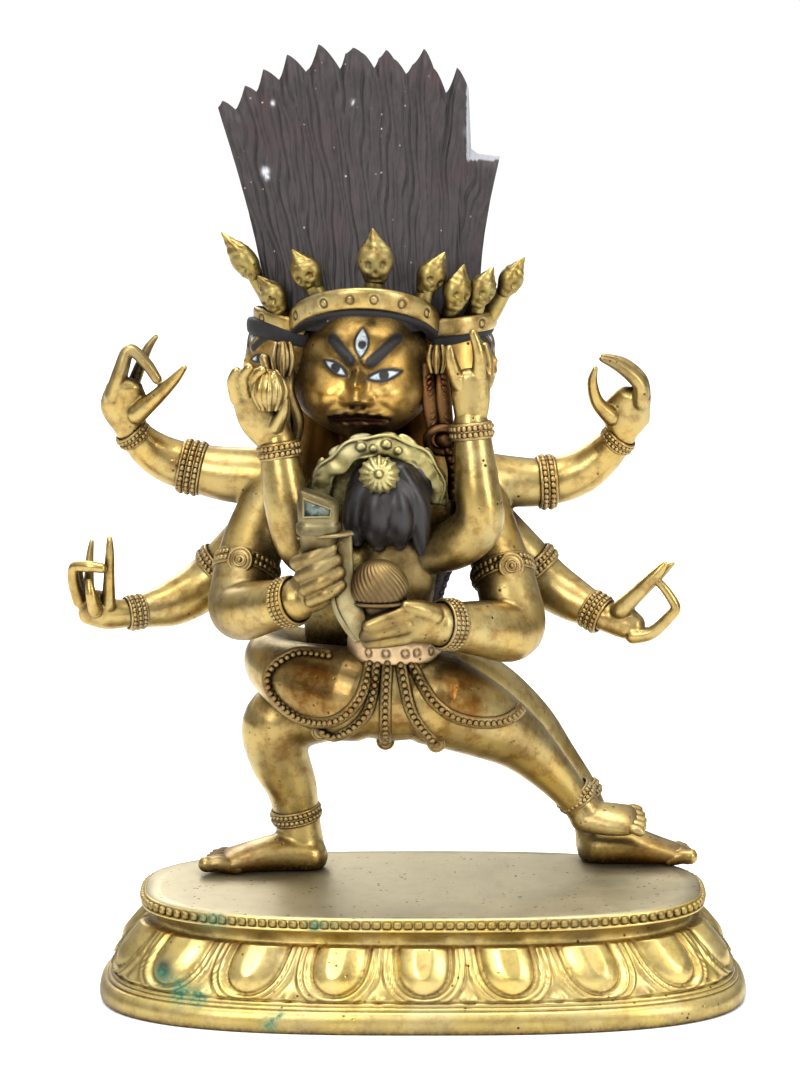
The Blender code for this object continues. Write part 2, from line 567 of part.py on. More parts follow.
HER_TORSO = [
    (-5.8, -1.6, 64.5, 7.6, 4.6),
    (-5.8, -1.8, 58.0, 8.4, 5.4),
    (-5.8, -1.6, 50.0, 7.0, 5.0),
    (-5.8, -1.8, 44.0, 8.8, 6.2),
    (-5.4, -1.8, 36.4, 12.0, 8.6),
]
HER_LEGS = {
    "stretched": [(2.2, -1.8, 35.8, 9.0), (10.6, 1.0, 31.4, 7.4), (18.2, 5.0, 26.0, 5.6),
                  (24.4, 8.0, 19.4, 4.1), (28.9, 10.0, 13.8, 3.3), (30.6, 10.2, 11.6, 3.4)],
    "clasping": [(-13.6, -1.8, 36.6, 9.0), (-21.8, 2.0, 38.0, 7.6), (-28.2, 9, 40.0, 5.4),
                 (-28.8, 17, 41.2, 4.1), (-24.6, 25, 40.6, 3.5), (-16.6, 29, 38.6, 3.1)],
}
HER_ARMS = {
    "left": [(-13.0, -2, 62.4, 3.8), (-18.6, -5, 62.4, 3.8), (-22.9, -6.5, 65.2, 3.9),
             (-25.0, -6.5, 73.2, 4.2), (-26.7, -5, 84.4, 3.3)],
    "right": [(1.0, -2, 62.0, 4.2), (6.2, -5, 64.0, 4.8), (9.9, -7, 68.6, 4.6),
              (9.7, -7, 76.5, 4.1), (8.7, -5, 87.9, 3.3)],
}
HER_FOOT = [(30.6, 9.9, 10.4, 3.4, 2.8), (35.4, 9.3, 10.0, 4.0, 2.5), (38.8, 8.9, 9.9, 4.0, 2.0)]
HER_HEAD = (-6.5, -3.0, 73.4)
HER_HEAD_RADIUS = 7.9

# The festoons of her bone girdle, as x and z.
GIRDLE_STRANDS = {
    "middle": [(-6.6, 44.0), (-7.0, 37.0), (-7.0, 28.6)],
    "left_drop": [(-8.4, 43.6), (-10.4, 35.0), (-15.8, 30.0), (-18.6, 30.6)],
    "right_drop": [(-4.2, 43.6), (-2.2, 35.0), (1.6, 29.4)],
    "left_loop": [(-9.8, 43.8), (-11.8, 37.6), (-16.6, 33.2), (-23.0, 32.8), (-28.2, 36.8),
                  (-28.4, 41.0), (-23.6, 44.4), (-17.4, 44.6)],
    "right_loop": [(-2.2, 43.4), (2.0, 37.0), (7.6, 33.2), (14.6, 32.2), (19.2, 34.6),
                   (17.4, 39.6), (11.4, 43.0), (4.0, 45.0)],
}
STRAND_RADIUS = 1.0


def her_body_wax():
    wax = bmesh.new()
    limb(wax, HER_TORSO, sides=16, up=(0, -1, 0))
    for stations in list(HER_LEGS.values()) + list(HER_ARMS.values()):
        limb(wax, stations, sides=12)
    return wax


def lay_on(surface, points, lift):
    """Drops x, z points on the surface from the front, standing proud by lift."""
    laid = []
    for x, z in points:
        hit = surface.ray_cast(Vector((x, -60, z)), Vector((0, 1, 0)))[0]
        if hit is not None:
            laid.append((x, hit.y - lift, z))
    return laid


def add_girdle(wax):
    """Her belt and the strands that fall from it over the seat and thighs."""
    body = her_body_wax()
    surface = BVHTree.FromBMesh(body)
    body.free()
    for points in GIRDLE_STRANDS.values():
        dense = [row[:2] for row in smooth_path(points, 4)]
        laid = lay_on(surface, dense, 0.4)
        limb(wax, [(*spot, STRAND_RADIUS) for spot in laid], sides=6, steps=1)
    add_belt(wax)


def add_belt(wax):
    loop = []
    for i in range(17):
        angle = 2 * math.pi * i / 16
        loop.append((-5.8 + 9.2 * math.sin(angle), -1.7 - 6.9 * math.cos(angle), 46.2, 0.9, 2.4))
    limb(wax, loop, sides=8, steps=1, up=(0, 0, 1))


def her_wax():
    """Everything cast in one with the consort."""
    wax = her_body_wax()
    add_hand(wax, HANDS["her_left"])
    add_hand(wax, HANDS["her_right"])
    ball(wax, (-26.6, -8.8, 94.8), (2.7, 2.7, 3.8))
    add_bangle(wax, (-26.4, -5, 83.0), (-0.15, 0.1, 1), 3.6)
    add_bangle(wax, (8.8, -5.2, 86.6), (-0.1, 0.1, 1), 3.6)
    add_bangle(wax, (29.0, 10.5, 14.2), (0.6, 0.1, -0.8), 3.5)
    limb(wax, HER_FOOT, up=(0, -0.5, 1))
    for i in range(TOE_COUNT):
        share = i / (TOE_COUNT - 1)
        limb(wax, [(38.6, 12.2 - 6.4 * share, 11.4 - 2.4 * share, 1.2),
                   (40.6 + 0.6 * math.sin(math.pi * share), 12.4 - 6.6 * share,
                    11.0 - 2.6 * share, 1.1)])
    add_her_head(wax)
    add_girdle(wax)
    return wax


def add_her_head(wax):
    """Her head from behind: hair in broad locks, a leafed diadem and a knot of jewels."""
    x, y, z = HER_HEAD
    radius = HER_HEAD_RADIUS
    ball(wax, HER_HEAD, (radius, radius, radius * 1.1))
    limb(wax, [(x, y + 1, z - 6, 3.6), (x, y + 1.6, z - 13, 4.2)])
    for i in range(5):
        share = i / 4 * 2 - 1
        limb(wax, [(x + share * 3.4, y - 4.6, z + 5.4, 1.6),
                   (x + share * 6.6, y - 6.2 + 2.2 * abs(share), z - 0.8, 2.3),
                   (x + share * 7.2, y - 5.4 + 2.4 * abs(share), z - 7.2, 2.1),
                   (x + share * 7.0 + 0.6, y - 4.6 + 2.4 * abs(share), z - 11.6, 1.0)], sides=8)
    arch = []
    for i in range(11):
        angle = math.radians(-98 + 202 * i / 10)
        arch.append((x - 1.6 + 11.2 * math.sin(angle), y - 1.6 + 2.2 * (1 - math.cos(angle)),
                     z + 2.2 + 8.6 * math.cos(angle), 2.0, 1.1))
    limb(wax, arch, sides=8, steps=1, up=(0, -1, 0.2))
    for i in range(7):
        angle = math.radians(-84 + 168 * i / 6)
        ball(wax, (x - 1.6 + 12.0 * math.sin(angle), y - 2.6 + 1.6 * (1 - math.cos(angle)),
                   z + 2.2 + 9.8 * math.cos(angle)), 1.8)
    ball(wax, (x - 1.6, y - 8.0, z + 6.0), (3.5, 2.4, 3.3))
    ball(wax, (x - 1.6, y - 10.6, z + 6.6), (1.0, 1.4, 1.0))


# Casting: each wax is fused into one skin and cut down to its facets.


def object_from(wax, name):
    """The wax as an object in metres, standing on the base."""
    bmesh.ops.recalc_face_normals(wax, faces=wax.faces)
    bmesh.ops.transform(wax, matrix=Matrix.Translation((0, 0, SOLE_LEVEL)) @ Matrix.Scale(UNIT, 4),
                        verts=wax.verts)
    mesh = bpy.data.meshes.new(name)
    wax.to_mesh(mesh)
    wax.free()
    thing = bpy.data.objects.new(name, mesh)
    bpy.context.scene.collection.objects.link(thing)
    return thing


def evaluated_mesh(thing):
    graph = bpy.context.evaluated_depsgraph_get()
    return bpy.data.meshes.new_from_object(thing.evaluated_get(graph))


def apply_modifiers(thing):
    mesh = evaluated_mesh(thing)
    thing.modifiers.clear()
    thing.data = mesh


def fuse(thing, facets, swell=0.0):
    """Fuses overlapping shapes into one skin, then keeps about that many triangles."""
    remesh = thing.modifiers.new("Fuse", "REMESH")
    remesh.mode = "VOXEL"
    remesh.voxel_size = FUSE_SIZE
    smooth = thing.modifiers.new("Soften", "SMOOTH")
    smooth.factor = 0.5
    smooth.iterations = 2
    if swell:
        displace = thing.modifiers.new("Swell", "DISPLACE")
        displace.strength = swell
        displace.mid_level = 0
    apply_modifiers(thing)
    decimate = thing.modifiers.new("Facets", "DECIMATE")
    decimate.ratio = facets / (2 * len(thing.data.polygons))
    decimate.use_collapse_triangulate = True
    apply_modifiers(thing)


def cut_away(thing, cutter):
    cutter.hide_render = True
    cutter.display_type = "WIRE"
    boolean = thing.modifiers.new("Cut", "BOOLEAN")
    boolean.operation = "DIFFERENCE"
    boolean.object = cutter
    boolean.solver = "EXACT"
    apply_modifiers(thing)


def keep_largest_body(thing):
    """Drops the crumbs that a cut leaves beside the main body."""
    shape = bmesh.new()
    shape.from_mesh(thing.data)
    unseen = set(shape.verts)
    bodies = []
    while unseen:
        queue = [unseen.pop()]
        body = []
        while queue:
            vert = queue.pop()
            body.append(vert)
            for edge in vert.link_edges:
                other = edge.other_vert(vert)
                if other in unseen:
                    unseen.remove(other)
                    queue.append(other)
        bodies.append(body)
    bodies.sort(key=len)
    for body in bodies[:-1]:
        bmesh.ops.delete(shape, geom=body, context="VERTS")
    shape.to_mesh(thing.data)
    shape.free()


def ground_block():
    """A block whose top is the level of the soles, to cut them flat."""
    wax = bmesh.new()
    bmesh.ops.create_cube(wax, size=1, matrix=Matrix.Translation((0, 10, -10))
                          @ Matrix.Diagonal((160, 90, 20, 1)))
    return object_from(wax, "ground_block")


# The lotus base, as one sheet of rings over the oval plan.


def oval_point(half_width, half_depth, turn):
    """A point of the plan's outline. The power makes the oval squarer than an ellipse."""
    c, s = math.cos(turn), math.sin(turn)
    power = 2 / OVAL_POWER
    return (half_width * math.copysign(abs(c) ** power, c),
            half_depth * math.copysign(abs(s) ** power, s))


def plan_turns(shares):
    """The angle at each share of the way round the plan, from the middle of the front."""
    fine = 2880
    angles = [2 * math.pi * i / fine - math.pi / 2 for i in range(fine + 1)]
    points = [oval_point(BASE_WIDTH / 2 - PETAL_INSET, BASE_DEPTH / 2 - PETAL_INSET, angle)
              for angle in angles]
    lengths = [0.0]
    for near, far in zip(points, points[1:]):
        lengths.append(lengths[-1] + math.dist(near, far))
    turns = []
    for share in shares:
        goal = lengths[-1] * (share % 1)
        at = bisect.bisect_right(lengths, goal) - 1
        part = (goal - lengths[at]) / (lengths[at + 1] - lengths[at])
        turns.append(angles[at] + part * (angles[at + 1] - angles[at]))
    return turns


# Across one petal: the shares of its tongue's half width, and how far each stands out.
TONGUE = [(-1.0, 0.0), (-0.6, 0.8), (0.0, 1.0), (0.6, 0.8), (1.0, 0.0)]
HEM_RELIEF = 0.45  # of the hem between two petals, beside a tongue's 1


def tongue_width(height):
    """Half the width of a petal's tongue, in petals, at a share of the petal's height."""
    return 0.31 * (1 - (1 - height) ** 3) ** 0.5 + 0.03


def petal_ring(inset, height, share):
    """One ring of points through the petals."""
    width = tongue_width(share)
    swell = (1 - (1 - share) ** 5) * (1 - 0.5 * share ** 3)
    shares, reliefs = [], []
    for petal in range(PETAL_COUNT):
        for across, relief in TONGUE:
            shares.append((petal + across * width) / PETAL_COUNT)
            reliefs.append(relief * swell if share else HEM_RELIEF)
        shares.append((petal + 0.5) / PETAL_COUNT)
        reliefs.append(HEM_RELIEF)
    ring_points = []
    for turn, relief in zip(plan_turns(shares), reliefs):
        out = PETAL_RELIEF * relief - inset
        ring_points.append((*oval_point(BASE_WIDTH / 2 + out, BASE_DEPTH / 2 + out, turn), height))
    return ring_points


def base_rings():
    """Every ring of points from the foot to the rim, the petals' among them."""
    plain = plan_turns([i / (PETAL_COUNT * 6) - 2 / (PETAL_COUNT * 6)
                        for i in range(PETAL_COUNT * 6)])

    def plain_ring(inset, height):
        return [(*oval_point(BASE_WIDTH / 2 - inset, BASE_DEPTH / 2 - inset, turn), height)
                for turn in plain]

    rings = [plain_ring(0.0006, 0.0), plain_ring(0.0, 0.0016), plain_ring(0.0020, FOOT_HEIGHT)]
    petal_low, petal_high = FOOT_HEIGHT + 0.0006, BASE_HEIGHT - RIM_HEIGHT - 0.0014
    for share in (0.0, 0.08, 0.22, 0.50, 1.0):
        inset = PETAL_INSET + (NECK_INSET - 0.0008 - PETAL_INSET) * share ** 1.3
        rings.append(petal_ring(inset, petal_low + (petal_high - petal_low) * share, share))
    rings += [plain_ring(NECK_INSET, BASE_HEIGHT - RIM_HEIGHT - 0.0007),
              plain_ring(RIM_INSET, BASE_HEIGHT - RIM_HEIGHT),
              plain_ring(RIM_INSET, BASE_HEIGHT - 0.0007),
              plain_ring(RIM_INSET + 0.0008, BASE_HEIGHT)]
    return rings


def make_base(material):
    shape = bmesh.new()
    loops = [[shape.verts.new(point) for point in ring_points] for ring_points in base_rings()]
    for low, high in zip(loops, loops[1:]):
        for i in range(len(low)):
            j = (i + 1) % len(low)
            shape.faces.new((low[i], low[j], high[j], high[i]))
    shape.faces.new(loops[0][::-1])
    shape.faces.new(loops[-1])
    bmesh.ops.recalc_face_normals(shape, faces=shape.faces)
    mesh = bpy.data.meshes.new("lotus_base")
    shape.to_mesh(mesh)
    shape.free()
    base = bpy.data.objects.new("lotus_base", mesh)
    bpy.context.scene.collection.objects.link(base)
    base.data.materials.append(material)
    base.data.shade_smooth()
    base.data.set_sharp_from_angle(angle=math.radians(50))


def finish_casting(thing, material):
    thing.data.materials.clear()
    thing.data.materials.append(material)
    thing.data.shade_smooth()
    thing.data.set_sharp_from_angle(angle=math.radians(50))


def main():
    clear_scene()
    gilt = make_material("gilt_bronze", (0.68, 0.48, 0.16), 0.33, 1.0)
    worn_gilt = make_material("worn_gilt_bronze", (0.62, 0.46, 0.18), 0.38, 1.0)
    make_base(gilt)

    ground = ground_block()
    figure = object_from(his_wax(), "deity")
    fuse(figure, FIGURE_FACETS)
    cut_away(figure, ground)
    keep_largest_body(figure)
    finish_casting(figure, gilt)

    clearance = object_from(his_wax(), "clearance")
    fuse(clearance, CUTTER_FACETS, swell=2 * GAP)
    consort = object_from(her_wax(), "consort")
    fuse(consort, CONSORT_FACETS)
    cut_away(consort, clearance)
    keep_largest_body(consort)
    finish_casting(consort, worn_gilt)


main()
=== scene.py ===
# %% [markdown]
# A gilt bronze Hayagriva embracing his consort, on an oval lotus base, about 18 cm tall.
# The solids of the frame give each casting its place and size. This lesson dresses them:
# every casting is built again in fine mesh, with its beads, petals, faces and hair.
# Everything is laid out in millimetres, and turned to metres when a piece is made.

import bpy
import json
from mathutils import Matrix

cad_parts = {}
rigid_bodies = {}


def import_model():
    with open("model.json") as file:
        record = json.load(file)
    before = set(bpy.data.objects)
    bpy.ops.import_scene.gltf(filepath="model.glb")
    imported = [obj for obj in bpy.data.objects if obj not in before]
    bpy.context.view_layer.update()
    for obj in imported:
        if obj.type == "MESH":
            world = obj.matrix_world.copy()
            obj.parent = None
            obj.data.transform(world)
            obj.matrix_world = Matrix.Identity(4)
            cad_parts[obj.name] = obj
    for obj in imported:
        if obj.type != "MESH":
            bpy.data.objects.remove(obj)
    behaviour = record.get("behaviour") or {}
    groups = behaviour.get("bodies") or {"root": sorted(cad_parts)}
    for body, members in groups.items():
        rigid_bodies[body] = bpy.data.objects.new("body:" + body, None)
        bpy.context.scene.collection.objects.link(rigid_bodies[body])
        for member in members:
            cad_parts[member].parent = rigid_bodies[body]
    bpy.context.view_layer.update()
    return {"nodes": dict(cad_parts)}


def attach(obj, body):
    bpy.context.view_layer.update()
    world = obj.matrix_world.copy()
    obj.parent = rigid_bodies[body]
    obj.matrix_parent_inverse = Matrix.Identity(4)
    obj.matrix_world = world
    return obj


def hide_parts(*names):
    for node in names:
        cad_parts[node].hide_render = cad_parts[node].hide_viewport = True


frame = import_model()

import json
import math

import bmesh
import bpy
import numpy as np
from mathutils import Euler, Matrix, Vector
from mathutils.bvhtree import BVHTree

print("castings in the frame:", sorted(frame["nodes"]))

# %% [markdown]
# The camera stands where the photograph was taken from: a little above the figure, looking
# down ten degrees through a long lens. The floor is a plain pale sheet, large enough that
# its far edge stays out of view. Metal shows what stands round it, so the lights are large
# soft boxes: their reflections make the long streaks that run down each arm and leg.

# %% Camera, floor and lights
scene = bpy.context.scene
for leftover in [thing for thing in bpy.data.objects if thing.name in ("Cube", "Light", "Camera")]:
    bpy.data.objects.remove(leftover, do_unlink=True)
scene.view_settings.view_transform = "Standard"

camera_data = bpy.data.cameras.new("photo_camera")
camera_data.lens = 145.8
camera_data.clip_start = 0.01
camera = bpy.data.objects.new("photo_camera", camera_data)
camera.location = (-0.0043, -0.78785, 0.22622)
camera.rotation_euler = (math.radians(80), 0, 0)
scene.collection.objects.link(camera)
scene.camera = camera


def soft_box(name, place, aim, size, watts, warmth):
    """A square soft box that faces a point."""
    data = bpy.data.lights.new(name, "AREA")
    data.shape = "RECTANGLE"
    data.size, data.size_y = size
    data.energy = watts
    data.color = warmth
    light = bpy.data.objects.new(name, data)
    light.location = place
    light.rotation_euler = (Vector(aim) - Vector(place)).to_track_quat("-Z", "Y").to_euler()
    scene.collection.objects.link(light)


CHEST = (0, 0, 0.09)
soft_box("box_front_left", (-0.34, -0.80, 0.52), CHEST, (0.20, 0.38), 4.2, (1.0, 0.99, 0.97))
soft_box("box_right", (0.62, -0.50, 0.36), CHEST, (0.14, 0.45), 2.8, (1.0, 0.99, 0.98))
soft_box("box_over", (0.00, -0.12, 0.90), CHEST, (0.60, 0.36), 5.6, (1.0, 1.0, 1.0))
soft_box("box_back", (-0.30, 0.75, 0.50), CHEST, (0.50, 0.40), 3.5, (1.0, 1.0, 1.0))

# %% [markdown]
# Colours are written as the hex values that a screen shows. Blender works in linear light,
# so one function turns them. A second small function adds a shader node with its settings
# and its links, which keeps each material short enough to read as a recipe.

# %% Colour and node helpers


def linear(hex_colour):
    """An sRGB hex colour as linear RGBA."""
    shares = [int(hex_colour[i:i + 2], 16) / 255 for i in (1, 3, 5)]
    return tuple(s / 12.92 if s <= 0.04045 else ((s + 0.055) / 1.055) ** 2.4 for s in shares) + (1,)


def add_node(material, kind, settings=None, inputs=None, stops=None):
    """Adds one node. inputs maps a socket's name or number to a value or another socket."""
    node = material.node_tree.nodes.new(kind)
    for name, value in (settings or {}).items():
        setattr(node, name, value)
    for key, source in (inputs or {}).items():
        if isinstance(source, bpy.types.NodeSocket):
            material.node_tree.links.new(source, node.inputs[key])
        else:
            node.inputs[key].default_value = source
    for i, (place, colour) in enumerate(stops or []):
        ramp = node.color_ramp.elements
        stop = ramp[i] if i < len(ramp) else ramp.new(place)
        stop.position = place
        stop.color = linear(colour)
    return node


def new_material(name):
    """An empty node material and its Principled shader."""
    material = bpy.data.materials.new(name)
    material.use_nodes = True
    return material, material.node_tree.nodes["Principled BSDF"]


def per_mm(millimetres):
    """A texture scale whose pattern repeats about every so many millimetres."""
    return 1000 / millimetres


# %% [markdown]
# Fire gilding is gold laid on bronze with mercury and burnished. Its colour is a warm
# yellow that thins to a paler, greener tone where it is rubbed. Brown patina stays in every
# hollow, because hands and cloths only reach the high places. So the colour follows how
# shut in a point is closely (4.5 mm, the creases, where the patina lies), how sharp it is
# (pointiness), soft clouds some 9 mm across, and small casting pits. Where a point is shut
# in widely (18 mm, the deep places between limbs), the gold is darkened as painted shade.
# The pits are really about 0.2 mm, and are drawn 0.5 mm so that they show.
# Patches named on the mesh add grey tarnish, umber where gilding has worn brown and, on
# his chest and beside his neck, painted shade, and green verdigris, which is a crust and no
# metal.

# %% Fire-gilt bronze


def fire_gilding(name, warm, pale, patina, roughness=0.35, pit_share=0.5, crevice=1.0, shade=1.0,
                 stained=0.7):
    """Burnished gilding over cast bronze: patina in the hollows, painted shade between parts."""
    material, shader = new_material(name)
    place = add_node(material, "ShaderNodeTexCoord").outputs["Object"]
    clouds = add_node(material, "ShaderNodeTexNoise", {}, {
        "Vector": place, "Scale": per_mm(9), "Detail": 5.0, "Roughness": 0.6})
    grain = add_node(material, "ShaderNodeTexNoise", {}, {
        "Vector": place, "Scale": per_mm(0.8), "Detail": 4.0, "Roughness": 0.7})
    gold = add_node(material, "ShaderNodeMix", {"data_type": "RGBA"}, {
        0: add_node(material, "ShaderNodeMapRange", {}, {
            "Value": clouds.outputs["Fac"], "From Min": 0.35, "From Max": 0.65}).outputs[0],
        6: linear(warm), 7: linear(pale)})
    shut_in = add_node(material, "ShaderNodeAmbientOcclusion", {"samples": 6}, {"Distance": 0.0045})
    # The 18 mm occlusion paints shade into the deep places between limbs. The shade argument sets
    # how much.
    deep = add_node(material, "ShaderNodeAmbientOcclusion", {"samples": 4}, {"Distance": 0.018})
    deep_painted_shade = add_node(material, "ShaderNodeMapRange", {}, {
        "Value": deep.outputs["AO"], "From Min": 0.70, "From Max": 0.22, "To Max": shade})
    crease = add_node(material, "ShaderNodeMapRange", {}, {
        "Value": shut_in.outputs["AO"], "From Min": 0.88, "From Max": 0.30,
        "To Max": crevice})
    hollow = add_node(material, "ShaderNodeMath", {"operation": "MAXIMUM"}, {
        0: deep_painted_shade.outputs[0], 1: crease.outputs[0]})
    edge = add_node(material, "ShaderNodeMapRange", {}, {
        "Value": add_node(material, "ShaderNodeNewGeometry").outputs["Pointiness"],
        "From Min": 0.505, "From Max": 0.44, "To Max": 0.55})
    patina_and_painted_shade = add_node(material, "ShaderNodeMath", {"operation": "MAXIMUM"}, {
        0: hollow.outputs[0], 1: edge.outputs[0]})
    patina_and_shade_share = add_node(material, "ShaderNodeMath", {"operation": "MULTIPLY", "use_clamp": True}, {
        0: patina_and_painted_shade.outputs[0],
        1: add_node(material, "ShaderNodeMapRange", {}, {
            "Value": grain.outputs["Fac"], "From Min": 0.3, "From Max": 0.7,
            "To Min": 0.75, "To Max": 1.25}).outputs[0]})
    stains = add_node(material, "ShaderNodeTexNoise", {}, {
        "Vector": place, "Scale": per_mm(3.4), "Detail": 8.0, "Roughness": 0.72})
    thinned = add_node(material, "ShaderNodeMix", {"data_type": "RGBA"}, {
        0: add_node(material, "ShaderNodeMapRange", {}, {
            "Value": stains.outputs["Fac"], "From Min": 0.47, "From Max": 0.64,
            "To Max": stained}).outputs[0],
        6: gold.outputs[2], 7: linear("#7A5A30")})
    # Patina in the creases and painted shade in the deep places darken the gold here.
    aged_and_shaded = add_node(material, "ShaderNodeMix", {"data_type": "RGBA"}, {
        0: patina_and_shade_share.outputs[0], 6: thinned.outputs[2], 7: linear(patina)})
    # Casting pits: sparse dark dots, only where a second cloud allows them.
    dots = add_node(material, "ShaderNodeTexVoronoi", {}, {"Vector": place, "Scale": per_mm(1.5)})
    dot = add_node(material, "ShaderNodeMapRange", {}, {
        "Value": dots.outputs["Distance"], "From Min": 0.23, "From Max": 0.12})
    where = add_node(material, "ShaderNodeMapRange", {}, {
        "Value": add_node(material, "ShaderNodeTexNoise", {}, {
            "Vector": place, "Scale": per_mm(5), "Detail": 2.0}).outputs["Fac"],
        "From Min": 0.62 - 0.12 * pit_share, "From Max": 0.72 - 0.12 * pit_share})
    pits = add_node(material, "ShaderNodeMath", {"operation": "MULTIPLY"}, {
        0: dot.outputs[0], 1: where.outputs[0]})
    pitted = add_node(material, "ShaderNodeMix", {"data_type": "RGBA"}, {
        0: pits.outputs[0], 6: aged_and_shaded.outputs[2], 7: linear("#3A2A18")})
    # Patches that the mesh names: grey-brown tarnish, umber (in places painted shade) and
    # verdigris.
    tarnish = add_node(material, "ShaderNodeAttribute", {"attribute_name": "tarnish"})
    greyed = add_node(material, "ShaderNodeMix", {"data_type": "RGBA"}, {
        0: tarnish.outputs["Fac"], 6: pitted.outputs[2], 7: linear("#4C4033")})
    umber_and_shade = add_node(material, "ShaderNodeAttribute", {"attribute_name": "umber_and_shade"})
    browned_and_shaded = add_node(material, "ShaderNodeMix", {"data_type": "RGBA"}, {
        0: add_node(material, "ShaderNodeMath", {"operation": "MULTIPLY", "use_clamp": True}, {
            0: umber_and_shade.outputs["Fac"], 1: add_node(material, "ShaderNodeMapRange", {}, {
                "Value": stains.outputs["Fac"], "From Min": 0.35, "From Max": 0.60,
                "To Min": 0.65, "To Max": 1.1}).outputs[0]}).outputs[0],
        6: greyed.outputs[2], 7: linear("#66431A")})
    verdigris = add_node(material, "ShaderNodeAttribute", {"attribute_name": "verdigris"})
    crust = add_node(material, "ShaderNodeMath", {"operation": "MULTIPLY", "use_clamp": True}, {
        0: verdigris.outputs["Fac"], 1: add_node(material, "ShaderNodeMapRange", {}, {
            "Value": grain.outputs["Fac"], "From Min": 0.40, "From Max": 0.58,
            "To Min": 0.55, "To Max": 1.35}).outputs[0]})
    greened = add_node(material, "ShaderNodeMix", {"data_type": "RGBA"}, {
        0: crust.outputs[0], 6: browned_and_shaded.outputs[2], 7: linear("#1C6A50")})
    dull = add_node(material, "ShaderNodeMath", {"operation": "MAXIMUM", "use_clamp": True}, {
        0: patina_and_shade_share.outputs[0],
        1: add_node(material, "ShaderNodeMath", {"operation": "MAXIMUM"}, {
            0: tarnish.outputs["Fac"], 1: crust.outputs[0]}).outputs[0]})
    rough = add_node(material, "ShaderNodeMapRange", {}, {
        "Value": dull.outputs[0], "To Min": roughness, "To Max": 0.62})
    uneven = add_node(material, "ShaderNodeMapRange", {}, {
        "Value": clouds.outputs["Fac"], "From Min": 0.3, "From Max": 0.7,
        "To Min": -0.06, "To Max": 0.07})
    metal = add_node(material, "ShaderNodeMapRange", {}, {
        "Value": crust.outputs[0], "To Min": 1.0, "To Max": 0.0})
    dents = add_node(material, "ShaderNodeBump", {"invert": True}, {
        "Strength": 0.6, "Distance": 0.00012, "Height": pits.outputs[0]})
    skin = add_node(material, "ShaderNodeBump", {}, {
        "Strength": 0.35, "Distance": 0.00010, "Height": grain.outputs["Fac"],
        "Normal": dents.outputs[0]})
    links = material.node_tree.links
    links.new(greened.outputs[2], shader.inputs["Base Color"])
    links.new(metal.outputs[0], shader.inputs["Metallic"])
    links.new(add_node(material, "ShaderNodeMath", {"operation": "ADD"}, {
        0: rough.outputs[0], 1: uneven.outputs[0]}).outputs[0], shader.inputs["Roughness"])
    links.new(skin.outputs[0], shader.inputs["Normal"])
    return material


burnished_gilding = fire_gilding("burnished_fire_gilding", "#B39858", "#AC9B6A", "#2C1F0D", 0.33)
base_gilding = fire_gilding("base_fire_gilding", "#D4BA6A", "#C9B67E", "#4A3718", 0.33,
                            crevice=0.9, shade=0.2, stained=0.4)
bead_gilding = fire_gilding("beadwork_gilding", "#AC9056", "#A6936A", "#261A0E", 0.38,
                            pit_share=0.2, crevice=1.1)
green_brass = fire_gilding("pale_cast_brass", "#B5A968", "#BDB588", "#403820", 0.42,
                           pit_share=0.4, stained=0.3)
skull_brass = fire_gilding("olive_cast_brass", "#A08C4C", "#A09260", "#2C2210", 0.38,
                           pit_share=0.4, crevice=0.9)
tool_brass = fire_gilding("worn_tool_brass", "#867B56", "#908766", "#241E12", 0.42,
                          pit_share=0.6, crevice=1.2)
strand_bronze = fire_gilding("carved_strand_bronze", "#8A7044", "#958157", "#1E150C", 0.42,
                             crevice=1.2)
rosy_gilding = fire_gilding("rosy_worn_gilding", "#CDAC80", "#CFB894", "#4E3624", 0.42,
                            pit_share=0.7, shade=0.5, stained=0.3)
red_gilding = fire_gilding("reddened_gilding", "#754A2C", "#80613E", "#22120A", 0.40)
plate_gilding = fire_gilding("dulled_plate_gilding", "#A89E80", "#B2A88A", "#6A604A", 0.50,
                             pit_share=1.0, crevice=0.7, shade=0.5, stained=0.12)
print("gilt finishes:", sum("gild" in m.name or "brass" in m.name for m in bpy.data.materials))

# %% [markdown]
# The faces are gilt too, with their eyes, brows and hair edge painted in mineral colour:
# white lead for the eyes, lamp black for the pupils and lines. Paint is a thin matt coat
# that doesn't conduct, so where it lies the metallic value falls to nothing. The mesh
# carries a share of each colour at every point, and the shader only mixes them.

# %% Painted gilt faces


